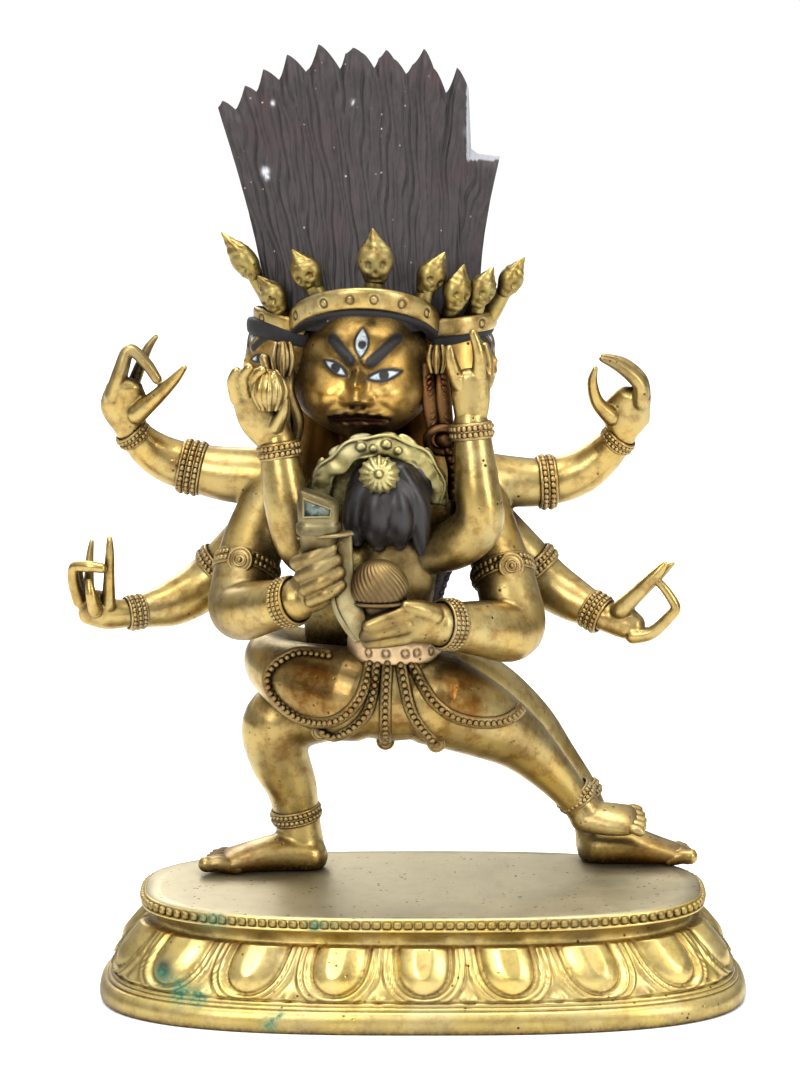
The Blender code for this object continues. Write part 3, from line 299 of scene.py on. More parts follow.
def painted_face():
    """Fire gilding with soot and painted shade, white and black laid over it where the mesh says.
    """
    material = fire_gilding("painted_gilt_face", "#C79F52", "#C0A262", "#33220F", 0.36,
                            pit_share=0.45, crevice=0.9)
    tree = material.node_tree
    shader = tree.nodes["Principled BSDF"]
    gold = shader.inputs["Base Color"].links[0].from_socket
    metal = shader.inputs["Metallic"].links[0].from_socket
    rough = shader.inputs["Roughness"].links[0].from_socket
    soot_and_shade = add_node(material, "ShaderNodeAttribute", {"attribute_name": "soot_and_shade"})
    white = add_node(material, "ShaderNodeAttribute", {"attribute_name": "white"})
    black = add_node(material, "ShaderNodeAttribute", {"attribute_name": "black"})
    rub = add_node(material, "ShaderNodeTexNoise", {}, {
        "Vector": add_node(material, "ShaderNodeTexCoord").outputs["Object"],
        "Scale": per_mm(0.9), "Detail": 4.0, "Roughness": 0.7})
    sooted_and_shaded = add_node(material, "ShaderNodeMix", {"data_type": "RGBA"}, {
        0: soot_and_shade.outputs["Fac"], 6: gold, 7: linear("#2A1812")})
    chalk = add_node(material, "ShaderNodeValToRGB", {}, {0: rub.outputs["Fac"]},
                     [(0.36, "#848B8C"), (0.54, "#B9C2C6")])
    whited = add_node(material, "ShaderNodeMix", {"data_type": "RGBA"}, {
        0: white.outputs["Fac"], 6: sooted_and_shaded.outputs[2], 7: chalk.outputs[0]})
    ink = add_node(material, "ShaderNodeValToRGB", {}, {0: rub.outputs["Fac"]},
                   [(0.40, "#0A0807"), (0.66, "#1C1412")])
    blacked = add_node(material, "ShaderNodeMix", {"data_type": "RGBA"}, {
        0: black.outputs["Fac"], 6: whited.outputs[2], 7: ink.outputs[0]})
    coat = add_node(material, "ShaderNodeMath", {"operation": "MAXIMUM", "use_clamp": True}, {
        0: white.outputs["Fac"], 1: black.outputs["Fac"]})
    tree.links.new(blacked.outputs[2], shader.inputs["Base Color"])
    bare = add_node(material, "ShaderNodeMath", {"operation": "SUBTRACT", "use_clamp": True}, {
        0: metal, 1: coat.outputs[0]})
    tree.links.new(bare.outputs[0], shader.inputs["Metallic"])
    tree.links.new(add_node(material, "ShaderNodeMix", {"data_type": "FLOAT"}, {
        0: coat.outputs[0], 2: rough, 3: 0.62}).outputs[0], shader.inputs["Roughness"])
    return material


face_gilding = painted_face()

# Blue-black enamel fills one small panel. Enamel is glass, so it's smooth and clear on top.
blue_enamel, enamel_shader = new_material("blue_black_enamel")
cloudy = add_node(blue_enamel, "ShaderNodeTexNoise", {}, {
    "Vector": add_node(blue_enamel, "ShaderNodeTexCoord").outputs["Object"],
    "Scale": per_mm(0.9), "Detail": 4.0})
enamel_tone = add_node(blue_enamel, "ShaderNodeValToRGB", {}, {0: cloudy.outputs["Fac"]},
                       [(0.38, "#1B2A33"), (0.60, "#5F6A5C")])
blue_enamel.node_tree.links.new(enamel_tone.outputs[0], enamel_shader.inputs["Base Color"])
enamel_shader.inputs["Roughness"].default_value = 0.28

# %% [markdown]
# His hair and hers are painted: a plum-brown mineral colour bound in glue, rubbed thin on
# the ridges. The eye sees a dull, dusty surface, black in the grooves where shade is
# painted, a few reddish spots, and tiny bright specks, partly where the paint has gone and
# metal shows and partly painted glints. The specks are really 0.1 mm, and are drawn
# 0.35 mm to show.

# %% Painted hair


def hair_paint(name, dusty, dark, red, roughness, specks):
    """Dull mineral paint. specks is the share of the small dots painted bright: bare metal and
    glints.
    """
    material, shader = new_material(name)
    place = add_node(material, "ShaderNodeTexCoord").outputs["Object"]
    clouds = add_node(material, "ShaderNodeTexNoise", {}, {
        "Vector": place, "Scale": per_mm(11), "Detail": 4.0, "Roughness": 0.6})
    strands = add_node(material, "ShaderNodeTexNoise", {}, {
        "Vector": add_node(material, "ShaderNodeMapping", {}, {
            "Vector": place, "Scale": (1.0, 1.0, 0.45)}).outputs[0],
        "Scale": per_mm(1.3), "Detail": 6.0, "Roughness": 0.75})
    # The grooves are darkened by their occlusion: painted shade.
    shut_in = add_node(material, "ShaderNodeAmbientOcclusion", {"samples": 6}, {"Distance": 0.0022})
    hollow = add_node(material, "ShaderNodeMapRange", {}, {
        "Value": shut_in.outputs["AO"], "From Min": 0.95, "From Max": 0.52})
    body = add_node(material, "ShaderNodeMix", {"data_type": "RGBA"}, {
        0: add_node(material, "ShaderNodeMapRange", {}, {
            "Value": strands.outputs["Fac"], "From Min": 0.33, "From Max": 0.67}).outputs[0],
        6: linear(dark), 7: linear(dusty)})
    ruddy = add_node(material, "ShaderNodeMix", {"data_type": "RGBA"}, {
        0: add_node(material, "ShaderNodeMapRange", {}, {
            "Value": clouds.outputs["Fac"], "From Min": 0.56, "From Max": 0.72,
            "To Max": 0.7}).outputs[0],
        6: body.outputs[2], 7: linear(red)})
    groove_shaded = add_node(material, "ShaderNodeMix", {"data_type": "RGBA"}, {
        0: hollow.outputs[0], 6: ruddy.outputs[2], 7: linear("#16100F")})
    pale = add_node(material, "ShaderNodeAttribute", {"attribute_name": "pale"})
    chipped_and_highlit = add_node(material, "ShaderNodeMix", {"data_type": "RGBA"}, {
        0: pale.outputs["Fac"], 6: groove_shaded.outputs[2], 7: linear("#C9CCD4")})
    # Small bright dots: bare metal where the paint is gone, and painted glints.
    dots = add_node(material, "ShaderNodeTexVoronoi", {}, {"Vector": place, "Scale": per_mm(1.1)})
    speck_and_glint = add_node(material, "ShaderNodeMath", {"operation": "MULTIPLY"}, {
        0: add_node(material, "ShaderNodeMapRange", {}, {
            "Value": dots.outputs["Distance"], "From Min": 0.22, "From Max": 0.10}).outputs[0],
        1: add_node(material, "ShaderNodeMapRange", {}, {
            "Value": add_node(material, "ShaderNodeSeparateColor", {}, {
                0: dots.outputs["Color"]}).outputs[0],
            "From Min": 1.0 - specks, "From Max": 1.02 - specks}).outputs[0]})
    bright = add_node(material, "ShaderNodeMix", {"data_type": "RGBA"}, {
        0: speck_and_glint.outputs[0], 6: chipped_and_highlit.outputs[2], 7: linear("#A79A8C")})
    relief = add_node(material, "ShaderNodeBump", {}, {
        "Strength": 0.5, "Distance": 0.0001, "Height": strands.outputs["Fac"]})
    links = material.node_tree.links
    links.new(bright.outputs[2], shader.inputs["Base Color"])
    links.new(relief.outputs[0], shader.inputs["Normal"])
    links.new(add_node(material, "ShaderNodeMapRange", {}, {
        "Value": strands.outputs["Fac"], "From Min": 0.3, "From Max": 0.7,
        "To Min": roughness - 0.08, "To Max": roughness + 0.10}).outputs[0],
        shader.inputs["Roughness"])
    return material


flame_hair_paint = hair_paint("plum_painted_hair", "#3A3031", "#191315", "#361D20", 0.64, 0.05)
her_hair_paint = hair_paint("blackened_painted_hair", "#20191B", "#0F0C0D", "#1E1517", 0.40, 0.02)
lamp_black = hair_paint("lamp_black_hair_edge", "#100E0F", "#080707", "#0E0B0B", 0.72, 0.01)

# %% [markdown]
# The floor is a sheet of matt photographer's paper. It has a barely visible tooth.

# %% Floor
paper, paper_shader = new_material("matt_background_paper")
tooth = add_node(paper, "ShaderNodeTexNoise", {}, {
    "Vector": add_node(paper, "ShaderNodeTexCoord").outputs["Object"],
    "Scale": per_mm(2), "Detail": 3.0})
paper_tone = add_node(paper, "ShaderNodeValToRGB", {}, {0: tooth.outputs["Fac"]},
                      [(0.3, "#F4F4F3"), (0.7, "#F8F8F7")])
paper.node_tree.links.new(paper_tone.outputs[0], paper_shader.inputs["Base Color"])
paper_shader.inputs["Roughness"].default_value = 0.9

bpy.ops.mesh.primitive_plane_add(size=16, location=(0, 2, 0))
floor = bpy.context.object
floor.name = "paper_floor"
floor.data.materials.append(paper)

# The room: bright above, where the ceiling bounces light on to the paper, and dim at eye
# level, so that upright metal reflects a dark room between its highlights.
room = bpy.data.worlds.new("dim_room_bright_ceiling")
room.use_nodes = True
ceiling = room.node_tree.nodes["Background"]
height = add_node(room, "ShaderNodeSeparateXYZ", {}, {
    0: add_node(room, "ShaderNodeTexCoord").outputs["Generated"]})
glow = add_node(room, "ShaderNodeMapRange", {}, {
    "Value": height.outputs["Z"], "From Min": 0.0, "From Max": 1.0, "To Min": 0.06, "To Max": 1.68})
room.node_tree.links.new(glow.outputs[0], ceiling.inputs["Strength"])
ceiling.inputs["Color"].default_value = linear("#FDFDFD")
scene.world = room

# %% [markdown]
# A wax modeller starts with rolls and balls, presses them together and smooths the joins.
# The mesh does the same. A roll is a tube swept through stations of place and radius; a
# ball is an ellipsoid. Each gives an array of points and a list of faces, and a piece
# gathers as many as it needs.

# %% Rolls, balls and other wax shapes
SOLE = 20.7  # the soles stand this high, in mm


def smooth_path(stations, steps):
    """Rows between the stations, on a Catmull-Rom curve. It eases the radii too."""
    rows = np.array(stations, float)
    ends = np.vstack([rows[0], rows, rows[-1]])
    t = (np.arange(steps) / steps)[:, None]
    parts = []
    for i in range(len(rows) - 1):
        a, b, c, d = ends[i:i + 4]
        parts.append(0.5 * (2 * b + (c - a) * t + (2 * a - 5 * b + 4 * c - d) * t ** 2
                            + (3 * b - a - 3 * c + d) * t ** 3))
    return np.vstack(parts + [rows[-1:]])


def lofted(rings, closed=False):
    """One skin over rings of equal count. Open ends are capped, unless it closes on itself."""
    count, sides = len(rings), len(rings[0])
    faces = []
    for i in range(count if closed else count - 1):
        near, far = i * sides, ((i + 1) % count) * sides
        for k in range(sides):
            n = (k + 1) % sides
            faces.append((near + n, near + k, far + k, far + n))
    if not closed:
        faces.append(tuple(range(sides)))
        faces.append(tuple(range((count - 1) * sides, count * sides))[::-1])
    return np.vstack(rings), faces


def roll(stations, sides=24, steps=8, up=None, square=2.0, closed=False):
    """A roll with round ends through stations of x, y, z, radius and, with up, thickness."""
    rows = smooth_path(stations, steps) if steps > 1 else np.array(stations, float)
    centres, across = rows[:, :3], np.maximum(rows[:, 3], 0.03)
    thick = np.maximum(rows[:, 4], 0.03) if up is not None else across
    if closed:
        tangents = np.roll(centres, -1, 0) - np.roll(centres, 1, 0)
    else:
        tangents = np.gradient(centres, axis=0)
    tangents /= np.linalg.norm(tangents, axis=1)[:, None]
    raised = np.array(up if up is not None else Vector(tangents[0]).orthogonal(), float)
    angles = 2 * np.pi * np.arange(sides) / sides
    c, s = np.cos(angles), np.sin(angles)
    c = np.sign(c) * np.abs(c) ** (2 / square)
    s = np.sign(s) * np.abs(s) ** (2 / square)
    rings = []
    for i, tangent in enumerate(tangents):
        side = np.cross(tangent, raised)
        side /= np.linalg.norm(side)
        over = np.cross(side, tangent)
        if up is None:
            raised = over
        spots = [(0.0, 1.0)]
        reach = min(across[i], thick[i])
        bends = [(math.sin(math.radians(a)), math.cos(math.radians(a))) for a in (22, 45, 66, 83)]
        if i == 0 and not closed:
            spots = [(-far * reach, near) for far, near in bends][::-1] + spots
        if i == len(rows) - 1 and not closed:
            spots = spots + [(far * reach, near) for far, near in bends]
        for shift, share in spots:
            rings.append(centres[i] + tangent * shift + np.outer(c, side) * across[i] * share
                         + np.outer(s, over) * thick[i] * share)
    return lofted(rings, closed)


def unit_ball(fineness):
    mesh = bmesh.new()
    bmesh.ops.create_icosphere(mesh, subdivisions=fineness, radius=1)
    points = np.array([vert.co for vert in mesh.verts])
    faces = [tuple(vert.index for vert in face.verts) for face in mesh.faces]
    mesh.free()
    return points, faces


BALLS = {fineness: unit_ball(fineness) for fineness in (2, 3, 4, 5)}


def ball(centre, radii, turn=(0, 0, 0), fineness=4):
    """An ellipsoid. turn is in degrees about x, y and z."""
    points, faces = BALLS[fineness]
    spin = np.array(Euler([math.radians(angle) for angle in turn]).to_matrix())
    return (points * radii) @ spin.T + centre, faces


def beads(spots, radius, fineness=2):
    """One round bead at each spot."""
    points, faces = BALLS[fineness]
    spots = np.array(spots, float)
    count = len(points)
    moved = (points[None] * radius + spots[:, None]).reshape(-1, 3)
    return moved, [tuple(i + k * count for i in face) for k in range(len(spots)) for face in faces]


def spaced(path, pitch, closed=False):
    """Spots a pitch apart along a path."""
    path = np.array(path, float)[:, :3]
    if closed:
        path = np.vstack([path, path[:1]])
    lengths = np.concatenate([[0], np.cumsum(np.linalg.norm(np.diff(path, axis=0), axis=1))])
    count = max(2, round(lengths[-1] / pitch))
    goals = np.linspace(0, lengths[-1], count, endpoint=False) if closed else \
        np.linspace(0, lengths[-1], count)
    return np.stack([np.interp(goals, lengths, path[:, k]) for k in range(3)], axis=1)


# %% [markdown]
# A piece is made from its shapes in one go, and lifted on to the base. Where shapes should
# flow together as one casting, a voxel remesh lays one skin over them all, a few rounds of
# smoothing melt the joins, and a decimation keeps the count of triangles sensible: all the
# pieces together stay under a million.

# %% Making and casting a piece
pieces = {}


def make_piece(name, shapes, material, lift=SOLE):
    """One mesh object from wax shapes in millimetres, which rides with the figure."""
    points, faces, start = [], [], 0
    for shape_points, shape_faces in shapes:
        points.append(shape_points)
        faces += [tuple(i + start for i in face) for face in shape_faces]
        start += len(shape_points)
    placed = (np.vstack(points) + (0, 0, lift)) / 1000
    mesh = bpy.data.meshes.new(name)
    mesh.from_pydata(placed.tolist(), [], faces)
    mesh.validate()
    piece = bpy.data.objects.new(name, mesh)
    scene.collection.objects.link(piece)
    mesh.materials.append(material)
    mesh.shade_smooth()
    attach(piece, "root")
    pieces[name] = piece
    return piece


def take_modifiers(piece):
    graph = bpy.context.evaluated_depsgraph_get()
    mesh = bpy.data.meshes.new_from_object(piece.evaluated_get(graph))
    piece.modifiers.clear()
    piece.data = mesh


def cast_in_one(piece, voxel, softening, triangles):
    """Fuses a piece's shapes into one skin. voxel is in millimetres."""
    remesh = piece.modifiers.new("Fuse", "REMESH")
    remesh.mode = "VOXEL"
    remesh.voxel_size = voxel / 1000
    remesh.use_smooth_shade = True
    if softening:
        smooth = piece.modifiers.new("Soften", "SMOOTH")
        smooth.iterations = softening
    take_modifiers(piece)
    found = 2 * len(piece.data.polygons)
    if found > triangles:
        thin = piece.modifiers.new("Thin", "DECIMATE")
        thin.ratio = triangles / found
        thin.use_collapse_triangulate = True
        take_modifiers(piece)
    piece.data.shade_smooth()
    print(f"{piece.name}: {found} triangles cast, {min(found, triangles)} kept")


def spots_of(piece):
    """A piece's points in millimetres above the soles."""
    points = np.empty(len(piece.data.vertices) * 3)
    piece.data.vertices.foreach_get("co", points)
    return points.reshape(-1, 3) * 1000 - (0, 0, SOLE)


def set_spots(piece, points):
    piece.data.vertices.foreach_set("co", ((points + (0, 0, SOLE)) / 1000).ravel())
    piece.data.update()


def paint(piece, name, shares):
    """Stores how much of a colour lies at each point."""
    layer = piece.data.attributes.new(name, "FLOAT", "POINT")
    layer.data.foreach_set("value", np.clip(shares, 0, 1).astype(np.float32))


def near(points, patches):
    """The strongest of some soft round patches: x, y, z, radius and strength."""
    found = np.zeros(len(points))
    for x, y, z, radius, strength in patches:
        away = np.linalg.norm(points - (x, y, z), axis=1) / radius
        found = np.maximum(found, strength * np.exp(-away ** 2))
    return found


# %% [markdown]
# His body is one casting: a broad torso, one leg bent and one stretched out in a lunge, and
# six arms. The stations below are millimetres above the soles, from the CAD's own tables.
# Fine rolls fused at 0.42 mm keep the smooth, slightly swelling limbs of the wax.

# %% His body
TORSO = [(-8.6, 13, 75.5, 16.0, 6.5), (-8.8, 13, 67.8, 15.4, 8.0), (-9.4, 13, 56.4, 13.6, 8.0),
         (-9.0, 14, 44.6, 13.2, 8.6), (-7.1, 15, 34.7, 13.3, 8.8)]
NECK = [(-9.6, 13, 76.0, 6.4), (-10.3, 11, 84.0, 5.0)]
HIS_ARMS = {
    "right_front": [(-27.4, 13, 72.6, 5.6), (-31.4, 8, 64, 5.9), (-33.6, 3, 56.3, 5.9),
                    (-34.0, -1, 52.4, 5.6), (-29.7, -7, 54.0, 5.0), (-23.4, -13, 56.6, 4.0)],
    "left_front": [(9.8, 13, 71.7, 5.6), (13.3, 8, 63, 5.4), (15.8, 3, 55.4, 5.7),
                   (16.7, -1, 48.8, 5.8), (10.5, -7, 50.1, 5.2), (3.2, -13, 52.0, 4.0)],
    "right_upper": [(-24, 14, 75.0, 5.6), (-35.4, 16, 75.0, 5.3), (-43.5, 17, 76.3, 4.6),
                    (-48.1, 17, 77.7, 4.3), (-51.9, 16, 80.3, 3.7), (-55.2, 14, 84.2, 2.7)],
    "left_upper": [(7.0, 14, 74.8, 5.6), (15.7, 16, 73.8, 4.9), (23.3, 17, 73.5, 4.5),
                   (29.3, 17, 75.2, 4.3), (34.1, 16, 79.0, 3.7), (37.4, 14, 83.1, 2.7)],
    "right_lower": [(-26.0, 16, 70.5, 4.8), (-34.8, 18, 61.0, 4.4), (-40.8, 18, 54.2, 4.8),
                    (-46.7, 16, 50.7, 4.5), (-51.5, 14, 49.6, 3.5), (-55.6, 12, 49.2, 2.7)],
    "left_lower": [(9.4, 16, 69.5, 4.8), (18.2, 18, 60.4, 4.4), (23.4, 18, 54.3, 4.7),
                   (28.4, 15.5, 51.2, 4.2), (34.4, 12, 48.6, 2.9)],
}
HIS_LEGS = {
    "bent": [(-13.8, 15, 34, 9.2), (-21.4, 13.5, 31.3, 7.8), (-27.8, 11, 28.3, 6.4),
             (-27.3, 12, 21.8, 5.8), (-25.0, 13, 15.7, 4.9), (-23.9, 13.6, 9.6, 4.3),
             (-23.2, 13.6, 3.9, 4.5)],
    "straight": [(0.5, 15, 36, 8.8), (11, 17.5, 32.8, 7.2), (19.6, 19, 26.7, 5.4),
                 (25.6, 19.3, 19.6, 4.1), (30.2, 19.3, 13.3, 3.4), (32.5, 19.3, 7.4, 3.6),
                 (33.6, 19.3, 2.8, 4.2)],
}
HIS_FEET = {
    "bent": [(-21.8, 12.6, 2.2, 4.4, 3.8), (-26.5, 12.0, 2.8, 4.6, 3.8),
             (-31.5, 11.4, 2.4, 5.0, 3.0), (-36.4, 11, 1.6, 5.4, 2.2)],
    "straight": [(34.0, 18.4, 2.4, 4.8, 4.4), (39.2, 17.8, 2.8, 4.8, 3.8),
                 (44.4, 17.2, 2.0, 4.8, 2.8), (48.4, 17, 1.4, 4.6, 2.0)],
}


def toes(stations, toward, length):
    """Five toes for a bare foot. toward is 1 for toes at +X and -1 for toes at -X."""
    shapes = []
    x, y, z, width, _ = stations[-1]
    for i in range(5):
        radius = 1.55 if i == 4 else 1.06
        reach = (2.4 + 0.4 * i) * length
        rise = 0.0 if i == 4 else 0.45
        toe_y = y + (1 - 0.4 * (i + 0.5)) * width * 0.86
        shapes.append(roll([(x - 1.2 * toward, toe_y, z + rise - 0.5, radius * 0.9),
                            (x + toward * reach * 0.45, toe_y, z + rise + 0.2, radius * 0.96),
                            (x + toward * reach * 0.78, toe_y, z + rise, radius * 0.92),
                            (x + toward * reach, toe_y, z + 0.1, radius)], 20))
        shapes.append(ball((x + toward * (reach + 0.35), toe_y, z + 0.1 + radius * 0.78),
                           (0.75, radius * 0.55, 0.3), fineness=3))
    return shapes


body_shapes = [roll(TORSO, 40, up=(0, -1, 0)), roll(NECK),
               ball((-8, 15, 34), (13.6, 9, 8), fineness=5)]
for stations in list(HIS_ARMS.values()) + list(HIS_LEGS.values()):
    body_shapes.append(roll(stations, 32))
body_shapes += [roll(stations, up=(0, 0, 1)) for stations in HIS_FEET.values()]
# Locks fall from behind each ear on to his shoulders, and close the view beside his neck.
body_shapes += [roll([(-21.0, 12, 74, 5.0), (-19.5, 12, 84, 4.6), (-19.0, 12, 93, 4.0)]),
                roll([(1.5, 12, 74, 5.0), (0.5, 12, 84, 4.4), (0.0, 12, 93, 4.0)])]
deity_body = make_piece("deity_body", body_shapes, burnished_gilding)
cast_in_one(deity_body, voxel=0.42, softening=5, triangles=76000)
standing = spots_of(deity_body)
standing[:, 2] = np.maximum(standing[:, 2], 0.0)
set_spots(deity_body, standing)
HIS_TARNISH = [(-36, -1, 50, 6, 0.75), (-33, 2, 47, 5, 0.5), (-39, 11, 3.6, 3.2, 0.9),
               (-37, 13, 3.4, 3.0, 0.8), (18, -2, 50, 4.5, 0.45), (19, 8, 57, 4, 0.35),
               (50, 16, 1.5, 2.6, 0.6), (-25, 14, 70, 3, 0.6)]
paint(deity_body, "tarnish", near(standing, HIS_TARNISH))
# Umber where the gilding has worn brown. The last three patches, on his chest under the chin and on
# the locks beside his neck, are painted shade.
HIS_UMBER_AND_SHADE = [(-27, 5, 24, 5, 0.5), (-34, 8, 2, 6, 0.7), (44, 12, 1, 7, 0.7),
             (-40, 16, 74, 5, 0.4), (-33, 1, 54, 5, 0.35), (15, 1, 48, 5, 0.35),
             (26, 16, 18, 5, 0.5), (-12, 3, 72, 9, 0.9), (-18, 8, 84, 8, 1.2), (0, 8, 84, 8, 1.2)]
paint(deity_body, "umber_and_shade", near(standing, HIS_UMBER_AND_SHADE))

# %% [markdown]
# Each hand makes its own gesture, and together with the feet they are what a maker models
# last and finest. Digits are thin rolls that start in the palm, given from the wrist. They
# are fused at 0.24 mm, which keeps the gaps between fingers open. The toes are made here
# too, because the coarser casting of the body would close the grooves between them.

# %% His hands
HANDS = {
    "right_upper": {
        "wrist": (-55.2, 14, 84.2),
        "palm": [(0, 0, 0, 2.8, 2.6), (-0.6, -1, 4.2, 4.6, 2.4), (-0.6, -2, 7.8, 3.6, 2.2)],
        "digits": [
            [(-2.8, -2.6, 6.4, 1.6), (-1.2, -3.2, 11.4, 1.4), (0.4, -3.2, 15.2, 1.1),
             (3.4, -3.6, 12.8, 1.0), (5.6, -3.8, 9.8, 1.0)],
            [(-2.4, -0.6, 6.6, 1.6), (-1.0, -0.8, 11.6, 1.4), (0.5, -0.8, 15.0, 1.1),
             (3.5, -1.2, 12.6, 1.0), (5.4, -1.6, 9.6, 1.0)],
            [(0.8, 1.0, 8.0, 1.3), (3.4, 2.0, 14.4, 0.9), (5.2, 2.2, 17.0, 0.5)],
            [(1.8, -2.8, 3.2, 2.0), (5.6, -4.4, 6.6, 1.5), (8.8, -5.4, 9.8, 1.1),
             (10.8, -6.0, 12.2, 0.6)],
        ],
    },
    "left_upper": {
        "wrist": (37.4, 14, 83.1),
        "palm": [(0, 0, 0, 2.8, 2.6), (0.6, -1, 3.6, 4.6, 2.4), (1.8, -2, 6.8, 3.6, 2.3)],
        "digits": [
            [(3.2, -3.8, 6.6, 1.5), (2.9, -4.6, 10.0, 1.4), (-0.4, -5.4, 13.2, 1.2),
             (-4.2, -6.0, 15.0, 0.6)],
            [(3.8, -2.0, 6.6, 1.5), (3.2, -2.6, 10.6, 1.4), (0.0, -3.2, 13.8, 1.1),
             (-3.8, -3.8, 15.2, 0.6)],
            [(3.6, 0.0, 6.4, 1.4), (2.4, -0.4, 11.0, 1.2), (-1.0, -1.0, 13.4, 0.7)],
            [(-2.4, -3.0, 3.8, 1.7), (-5.0, -4.4, 6.8, 1.3), (-5.9, -5.2, 10.4, 1.0),
             (-5.4, -5.8, 13.2, 0.5)],
        ],
    },
    "right_lower": {
        "wrist": (-55.6, 12, 49.2),
        "palm": [(0, 0, 0, 2.7, 2.5), (-3.8, -1.4, 0.2, 3.0, 2.8), (-6.4, -2.2, 1.6, 3.6, 2.6)],
        "digits": [
            [(-3.4, -3.6, 2.4, 1.4), (-3.2, -4, 7.4, 1.1), (-3.0, -4.2, 12.0, 0.9),
             (-3.0, -4.2, 15.0, 0.6)],
            [(-8.8, -3, 3.0, 1.4), (-9.8, -3.6, 6.6, 1.2), (-9.6, -4.4, 9.6, 1.1),
             (-7.0, -6, 10.1, 1.1), (-4.4, -6.2, 9.8, 1.0)],
            [(-8.4, -1, 3.0, 1.3), (-9.2, -1.2, 6.8, 1.1), (-8.8, -2, 9.2, 1.0),
             (-6.2, -3.8, 9.7, 1.0)],
            [(-7.4, 1, 4.6, 1.1), (-7.2, 1.8, 10.2, 0.8), (-6.8, 2, 13.4, 0.5)],
            [(-5.8, -5, 1.6, 1.4), (-6.4, -6.4, 4.6, 1.1), (-6.8, -6, 7.2, 0.8)],
        ],
    },
    "left_lower": {
        "wrist": (34.4, 12, 48.6),
        "palm": [(0, 0, 0, 2.9, 2.6), (3.0, -1.2, -0.6, 3.2, 2.6), (5.0, -2, -1.6, 2.8, 2.4)],
        "digits": [
            [(5.2, -3.2, -3.0, 1.7), (8.6, -4.4, -2.2, 1.3), (11.8, -5.2, 1.0, 1.1),
             (12.9, -5.4, 2.8, 1.0), (11.2, -5.2, 5.8, 0.9), (9.4, -4.8, 7.8, 0.8)],
            [(2.8, -3.0, 2.0, 1.9), (6.2, -4.0, 5.6, 1.5), (9.2, -4.8, 9.0, 1.1),
             (10.8, -5.2, 11.0, 0.6)],
            [(3.2, -0.8, 1.8, 1.7), (7.2, -1.4, 5.6, 1.3), (10.4, -2.2, 8.8, 1.0),
             (12.4, -2.8, 10.6, 0.5)],
        ],
    },
    "right_front": {
        "wrist": (-23.4, -13, 56.6),
        "palm": [(0, 0, 0, 3.2, 3.0), (3.4, -1.6, 2.6, 4.4, 2.8), (5.4, -1.6, 5.6, 4.4, 2.8)],
        "digits": [
            [(0.4, -4.2, 7.6, 1.4), (3.2, -6.2, 9.0, 1.4), (6.6, -5.2, 10.6, 1.3)],
            [(1.2, -4.6, 5.2, 1.4), (4.0, -6.8, 6.8, 1.4), (7.4, -5.6, 8.4, 1.3)],
            [(2.0, -4.6, 2.8, 1.4), (4.8, -6.8, 4.6, 1.4), (8.0, -5.4, 6.0, 1.3)],
            [(3.0, -4.2, 0.6, 1.3), (5.6, -6.2, 2.2, 1.3), (8.4, -5.0, 3.6, 1.2)],
            [(2.0, 0.6, 8.6, 1.5), (5.0, -1.4, 11.4, 1.3), (8.4, -3.6, 11.4, 1.1)],
        ],
    },
    "left_front": {
        "wrist": (3.2, -13, 52.0),
        "palm": [(0, 0, 0, 3.4, 3.2), (-4.4, -3.2, 1.2, 4.0, 3.0), (-8.0, -4.6, 1.4, 3.4, 2.2)],
        "digits": [
            [(-6.0, -5.6, 3.4, 1.8), (-10.0, -7.2, 2.4, 1.5), (-13.2, -7.6, 1.2, 1.2)],
            [(-6.4, -5.6, 1.0, 1.8), (-10.4, -7.0, 0.2, 1.5), (-13.8, -7.4, -0.6, 1.2)],
            [(-6.6, -4.4, -1.2, 1.8), (-10.4, -5.6, -1.8, 1.5), (-13.4, -6.2, -2.2, 1.1)],
            [(-1.6, -3.6, 2.4, 2.0), (-4.0, -5.4, 3.8, 1.6), (-6.4, -6.4, 4.6, 1.2)],
        ],
    },
    "her_left": {
        "wrist": (-26.7, -5, 84.4),
        "palm": [(0, 0, 0, 3.2, 2.8), (-2.8, -0.6, 4.4, 4.2, 2.4), (-4.0, -1, 8.0, 4.2, 2.2)],
        "digits": [
            [(-7.4, -1.2, 8.2, 1.3), (-8.0, -2.2, 11.4, 1.2), (-7.4, -3.4, 13.6, 0.9)],
            [(-5.4, -1.6, 8.4, 1.3), (-6.0, -3.0, 12.2, 1.2), (-5.0, -4.4, 14.4, 0.9)],
            [(-3.2, -1.8, 8.4, 1.3), (-3.8, -3.4, 12.2, 1.2), (-2.6, -4.8, 14.0, 0.9)],
            [(-1.2, -1.8, 8.0, 1.2), (-1.4, -3.6, 11.4, 1.1), (-0.6, -4.8, 13.0, 0.8)],
            [(-0.4, -2.2, 3.2, 1.4), (1.0, -3.4, 6.0, 1.1), (1.4, -4.0, 8.4, 0.8)],
        ],
    },
    "her_right": {
        "wrist": (8.7, -5, 87.9),
        "palm": [(0, 0, 0, 2.8, 2.6), (0, -0.4, 4.4, 3.5, 2.2), (0, -0.6, 8.4, 3.4, 2.0)],
        "digits": [
            [(-2.2, -1.2, 7.4, 1.4), (-3.5, -1.8, 11.2, 1.2), (-4.0, -2, 14.0, 0.9)],
            [(1.4, -1.2, 9.2, 1.4), (1.4, -2, 13.2, 1.2), (0.3, -2.2, 17.0, 0.8)],
            [(2.8, 0.4, 7.4, 1.3), (3.0, 0.8, 11.0, 1.2), (2.4, 0.2, 14.2, 0.9)],
        ],
    },
}


def hand(name):
    """A palm and its digits, measured from the wrist, which reaches back into the arm."""
    wrist = np.array(HANDS[name]["wrist"])
    palm = [(*(np.array(s[:3]) + wrist), *s[3:]) for s in HANDS[name]["palm"]]
    shapes = [roll(palm, up=(0, -1, 0.1))]
    for digit in HANDS[name]["digits"]:
        shapes.append(roll([(*(np.array(s[:3]) + wrist), s[3]) for s in digit], 16))
    return shapes


